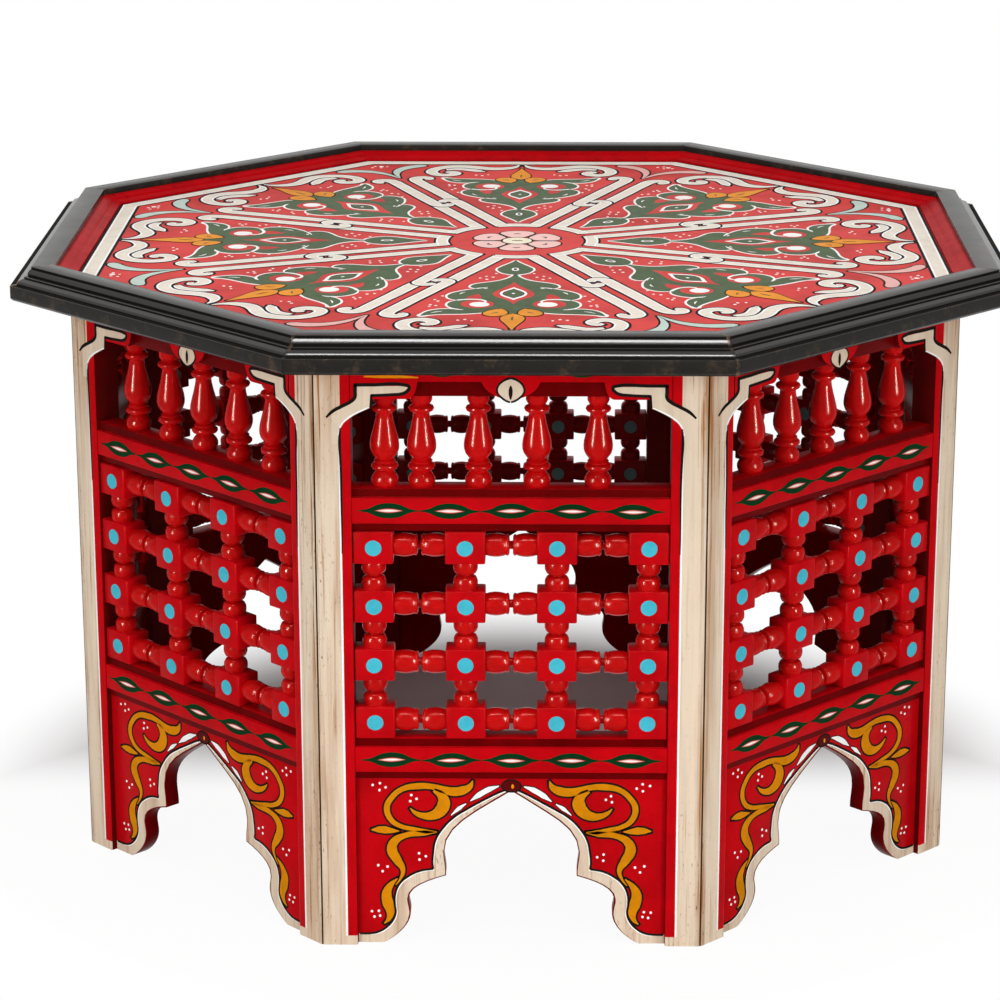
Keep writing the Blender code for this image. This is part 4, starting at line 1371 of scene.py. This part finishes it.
class TABLE_OT_apron_paint(bpy.types.Operator):
    """Paint the cream band round each arch, the ochre scrolls and the dots"""

    bl_idname = "table.apron_paint"
    bl_label = "Apron paint"

    def execute(self, context):
        line = context.scene.table_sizes.outline * 1000
        edge = SNUG_HALF * 1000 - 0.3
        outer = [(x, z, x == -57) for x, z in BAND_EDGE_LOW[:-1] + BAND_EDGE_HIGH]
        outer[0] = (-edge, 6.8, True)
        half = ARCH + [(-edge, 0.2, True)] + outer[:-1]
        knots, runs = mirrored_loop(half, ARCH_RUNS, outer[-1:])
        arch = set(ARCH[:-1] + [(-x, z, corner) for x, z, corner in ARCH[:-1]])
        inset = [(knot[0] * 1.014, knot[1] * 1.011, True) if knot in arch else knot for knot in knots]
        edges = [[(x, z, 0.85) for x, z in part] for part in (BAND_EDGE_LOW, BAND_EDGE_HIGH)]
        lights = [[(x + 0.9, z - 0.8, 0.45) for x, z in part[1:]] for part in (BAND_EDGE_LOW, BAND_EDGE_HIGH)]
        accents = [
            [(-9, 122.4, 0.4), (-16, 119.9, 2.0), (-23.5, 115.4, 2.0), (-29.5, 110.9, 0.3)],
            [(-32.6, 108.9, 0.4), (-37.6, 105.4, 1.5), (-43.6, 100, 0.3)],
        ]
        dome = whole([(0, 117.6), (5.5, 119), (7.6, 122.6), (5, 126.6), (0, 128)])
        heart = whole([(0, 118.8), (4.4, 119.9), (6.2, 122.7), (4, 125.8), (0, 126.9)])
        layers = [
            # The darker red under the cream shows as a thin line along the arch's edge, painted shade
            (filled([(knots, runs)], UNDER_LINE - 0.03, 6), "red_recess_shade"),
            (filled([(inset, runs)], UNDER_LINE, 6), "cream"),
            (stroked(both(accents), UNDER_PAINT + 0.01, 0.7), "line"),
            (stroked(both(edges), UNDER_PAINT), "line"),
            (stroked(both(lights), UNDER_PAINT - 0.02), "white"),
            (stroked(both(accents), OVER_LINE), "white"),
            (filled([dome], OVER_PAINT), "line"),
            (filled([heart], DETAIL), "maroon_and_shade"),
            (filled([disc(0.8, 122.4, 0.9, 1.7)], FINE), "ochre"),
        ]
        finishes = ("cream", "line", "white", "maroon_and_shade", "ochre", "red_recess_shade")
        paint_piece("apron_bands", layers, on_sides(standing(APRON_SETBACK)), finishes)
        scrolls = both(SCROLLS)
        dots = both([disc(x, z, 0.95) for x, z in APRON_DOTS])
        layers = [
            (stroked(scrolls, UNDER_LINE, line * 0.78), "line"),
            (stroked(scrolls, UNDER_PAINT), "scroll_ochre"),
            (filled(dots, UNDER_PAINT, 2), "white"),
        ]
        places = on_sides(standing(APRON_SETBACK, -0.0024, 0.995, 1.038))
        paint_piece("apron_scrolls", layers, places, ("scroll_ochre", "line", "white"))
        return {"FINISHED"}


class TABLE_OT_fascia_paint(bpy.types.Operator):
    """Paint the corner brackets and the pendants of the fascias"""

    bl_idname = "table.fascia_paint"
    bl_label = "Fascia paint"

    def execute(self, context):
        bracket = [
            (-125, 401, True), (-121.6, 403.8), (-116.3, 406.4), (-109.4, 410.4), (-107.4, 413, True),
            (-107.2, 421.6, True), (-73.2, 421.6, True), (-71.6, 420.6), (-73, 418.8), (-75.9, 417.2),
            (-82, 416.4), (-97.2, 415.7, True), (-97.9, 406.1, True), (-105.5, 402.4), (-112.5, 398.2),
            (-117.7, 393), (-119.5, 387), (-120, 380, True), (-125, 380, True),
        ]
        edges = [
            [(-128.5, 399, 0.4), (-124, 403.3, 0.9), (-117.5, 407, 1.0), (-110.6, 410.9, 1.0),
             (-108.4, 413.5, 1.0), (-108.2, 418, 1.0), (-108.1, 422.4, 1.0)],
            [(-109, 422.4, 0.9), (-95, 422.5, 0.9), (-74, 422.4, 0.9), (-70.7, 420.9, 0.9), (-72.2, 418, 0.9),
             (-75.5, 416.2, 0.9), (-82, 415.5, 0.8), (-97, 414.9, 0.8)],
            [(-96.9, 415.2, 0.6), (-97.2, 410, 0.6), (-97.5, 406.4, 0.6)],
            [(-118.9, 300, 0.1), (-118.9, 340, 0.45), (-119.2, 370, 0.6), (-119.4, 382, 0.8),
             (-118.9, 391, 0.3)],
        ]
        lights = [[
            (-98.6, 406.4, 0.4), (-105.8, 403, 0.6), (-112.9, 398.8, 0.6), (-118.2, 393.4, 0.6),
            (-120.4, 386.5, 0.4)
        ]]
        onion = whole([
            (0, 411.2), (2.6, 412), (5.6, 414), (8.4, 417.2), (8.5, 420.4), (5, 424.6), (0, 426.6, True)
        ])
        slit = [[(0, 412.4, 0.5), (0, 416, 1.4), (0, 419, 1.4), (0, 422, 0.5)]]
        strip = [[(-102, 428.4, 0.5), (-90, 428.2, 1.0), (-75, 428, 1.0), (-64.5, 427.6, 0.4)]]
        leaf = [[(-59, 430.4, 0.3), (-52, 430.6, 2.2), (-46, 430.4, 2.2), (-39, 430.2, 0.3)]]
        layers = [
            (filled(both([bracket]), UNDER_LINE), "cream_smooth"),
            (stroked(both(edges), UNDER_PAINT, 0.3), "line"),
            (stroked(both(lights), UNDER_PAINT), "white"),
            (stroked([outline_stroke(onion, 1.5)], UNDER_LINE), "line"),
            (filled([onion], UNDER_PAINT), "cream_smooth"),
            (stroked(slit, OVER_LINE), "line"),
            (stroked(strip, UNDER_LINE), "ochre"),
            (stroked(both(leaf), UNDER_LINE), "rail_green"),
        ]
        finishes = ("cream_smooth", "line", "white", "ochre", "rail_green")
        paint_piece("fascia_ornament", layers, on_sides(standing(0.0)), finishes)
        return {"FINISHED"}


# Stage

FLOOR = -0.0002
FLOOR_HALF = 6.0
TARGET = Vector((0, 0, 0.25))

# Lights as name, turn and rise in degrees, distance, width, height and power
SOFT_BOXES = (
    ("left_soft_box", -34, 11, 2.6, 0.5, 1.45, 18.8),
    ("right_soft_box", 34, 11, 2.6, 0.5, 1.45, 18.8),
    ("top_soft_box", 0, 72, 2.4, 1.6, 1.2, 37),
)
SIDE_STRIPS = (
    ("left_strip", -42, 11, 2.6, 0.42, 1.4, 400),
    ("right_strip", 42, 11, 2.6, 0.42, 1.4, 400),
)
TOP_STRIP = ("top_strip", 0, 58, 2.4, 1.9, 0.5, 110)


def seen_directly(tree):
    """One where the camera, a reflection or a clear piece looks straight at the surface."""
    path = tree.nodes.new("ShaderNodeLightPath")
    first = math_node(tree, "MAXIMUM", path.outputs["Is Camera Ray"], path.outputs["Is Glossy Ray"])
    return math_node(tree, "MAXIMUM", first, path.outputs["Is Transmission Ray"])


def studio_world(strength):
    """Even white surroundings, plain white where they are seen."""
    world = bpy.data.worlds.new("studio")
    world.use_nodes = True
    tree = world.node_tree
    level = range_node(tree, seen_directly(tree), 0.0, 1.0, strength, 1.0)
    feed(tree, tree.nodes["Background"], {"Color": (1.0, 1.0, 1.0, 1.0), "Strength": level})
    bpy.context.scene.world = world


def floor_paint():
    """Pale paint, plain white round the table, with a soft shadow under its back half and a painted light
    that glows white under its front half.
    """
    paint = bpy.data.materials.new("pale_floor")
    paint.use_nodes = True
    tree = paint.node_tree
    shader = tree.nodes["Principled BSDF"]
    feed(tree, shader, {"Base Color": (0.86, 0.86, 0.86, 1.0), "Roughness": 0.9, "Specular IOR Level": 0.0})
    place = object_place(tree)
    away = add_node(tree, "ShaderNodeVectorMath", {0: place}, operation="LENGTH").outputs["Value"]
    back = add_node(tree, "ShaderNodeSeparateXYZ", {0: place}).outputs["Y"]
    # White further out is the plain backdrop; white under the front half of the table is a painted light that
    # takes the shadow away there
    plain = math_node(
        tree, "MAXIMUM", range_node(tree, away, 0.29, 0.47), range_node(tree, back, -0.04, 0.16, 0.95, 0.0)
    )
    share = math_node(tree, "MULTIPLY", seen_directly(tree), plain)
    glow = tree.nodes.new("ShaderNodeEmission")
    values = {"Fac": share, 1: shader.outputs["BSDF"], 2: glow.outputs["Emission"]}
    blend = add_node(tree, "ShaderNodeMixShader", values)
    tree.links.new(blend.outputs["Shader"], tree.nodes["Material Output"].inputs["Surface"])
    return paint


def soft_box(name, turn, rise, distance, width, height, power):
    """A soft rectangular light that faces the table."""
    lamp = bpy.data.lights.new(name, "AREA")
    lamp.shape = "RECTANGLE"
    lamp.size = width
    lamp.size_y = height
    lamp.energy = power
    holder = bpy.data.objects.new(name, lamp)
    bpy.context.collection.objects.link(holder)
    turn = math.radians(turn)
    rise = math.radians(rise)
    away = Vector((math.sin(turn) * math.cos(rise), -math.cos(turn) * math.cos(rise), math.sin(rise)))
    holder.location = TARGET + away * distance
    holder.rotation_euler = away.to_track_quat("Z", "Y").to_euler()
    return holder


class TABLE_OT_stage(bpy.types.Operator):
    """Set up the pale floor, the soft lights and the camera"""

    bl_idname = "table.stage"
    bl_label = "Stage"

    def execute(self, context):
        bm = bmesh.new()
        level = Matrix.Translation((0, 0, FLOOR))
        bmesh.ops.create_grid(bm, x_segments=2, y_segments=2, size=FLOOR_HALF, matrix=level)
        mesh = bpy.data.meshes.new("floor")
        bm.to_mesh(mesh)
        bm.free()
        mesh.materials.append(floor_paint())
        floor = bpy.data.objects.new("floor", mesh)
        context.collection.objects.link(floor)
        studio_world(0.28)
        turned_pieces = bpy.data.collections.new("turned_pieces")
        for piece in context.scene.objects:
            if piece.name.endswith(("_turned_screen", "_gallery")):
                turned_pieces.objects.link(piece)
        for light in SOFT_BOXES:
            soft_box(*light)
        for light in SIDE_STRIPS:
            gleam = soft_box(*light)
            gleam.visible_diffuse = False
            gleam.light_linking.receiver_collection = turned_pieces
        soft_box(*TOP_STRIP).visible_diffuse = False
        set_camera(context)
        return {"FINISHED"}


def set_camera(context):
    """The camera at the picture's viewing angle."""
    yaw = math.radians(0.7451)
    rise = math.radians(17.0778)
    forward = Vector((-math.sin(yaw) * math.cos(rise), math.cos(yaw) * math.cos(rise), -math.sin(rise)))
    lens = bpy.data.cameras.new("camera")
    lens.sensor_width = 36.0
    lens.lens = 121.53
    lens.shift_x = -0.0172
    lens.shift_y = 0.0283
    camera = bpy.data.objects.new("camera", lens)
    context.collection.objects.link(camera)
    camera.location = Vector((0, 0, 0.65 * BODY_APOTHEM)) - forward * 8.1693 * BODY_APOTHEM
    camera.rotation_euler = forward.to_track_quat("-Z", "Y").to_euler()
    context.scene.camera = camera
    context.scene.view_settings.view_transform = "Standard"


STEPS = (
    TABLE_OT_stiles, TABLE_OT_aprons, TABLE_OT_screens, TABLE_OT_galleries, TABLE_OT_top_rails, TABLE_OT_rim,
    TABLE_OT_panel, TABLE_OT_strapwork, TABLE_OT_palmettes, TABLE_OT_brackets, TABLE_OT_medallion,
    TABLE_OT_rail_leaves, TABLE_OT_apron_paint, TABLE_OT_fascia_paint, TABLE_OT_stage,
)


class TABLE_PT_sidebar(bpy.types.Panel):
    """Lists the table's pieces, sizes and colours"""

    bl_idname = "TABLE_PT_sidebar"
    bl_label = "Coffee table"
    bl_space_type = "VIEW_3D"
    bl_region_type = "UI"
    bl_category = "Coffee table"

    def draw(self, context):
        column = self.layout.column(align=True)
        for step in STEPS:
            column.operator(step.bl_idname)
        for group in (context.scene.table_sizes, context.scene.table_colours):
            box = self.layout.box()
            for name in group.__annotations__:
                box.prop(group, name)


CLASSES = (TableColours, TableSizes) + STEPS + (TABLE_PT_sidebar,)


def register():
    """Adds the classes and the scene's settings."""
    for item in CLASSES:
        bpy.utils.register_class(item)
    bpy.types.Scene.table_colours = bpy.props.PointerProperty(type=TableColours)
    bpy.types.Scene.table_sizes = bpy.props.PointerProperty(type=TableSizes)


def unregister():
    """Removes what register added."""
    del bpy.types.Scene.table_sizes
    del bpy.types.Scene.table_colours
    for item in reversed(CLASSES):
        bpy.utils.unregister_class(item)


def main():
    """Builds every piece in order."""
    register()
    for step in STEPS:
        family, name = step.bl_idname.split(".")
        getattr(getattr(bpy.ops, family), name)()
    held = bpy.data.objects.get("brush_section")
    if held:
        bpy.data.objects.remove(held)


if __name__ == "__main__":
    main()
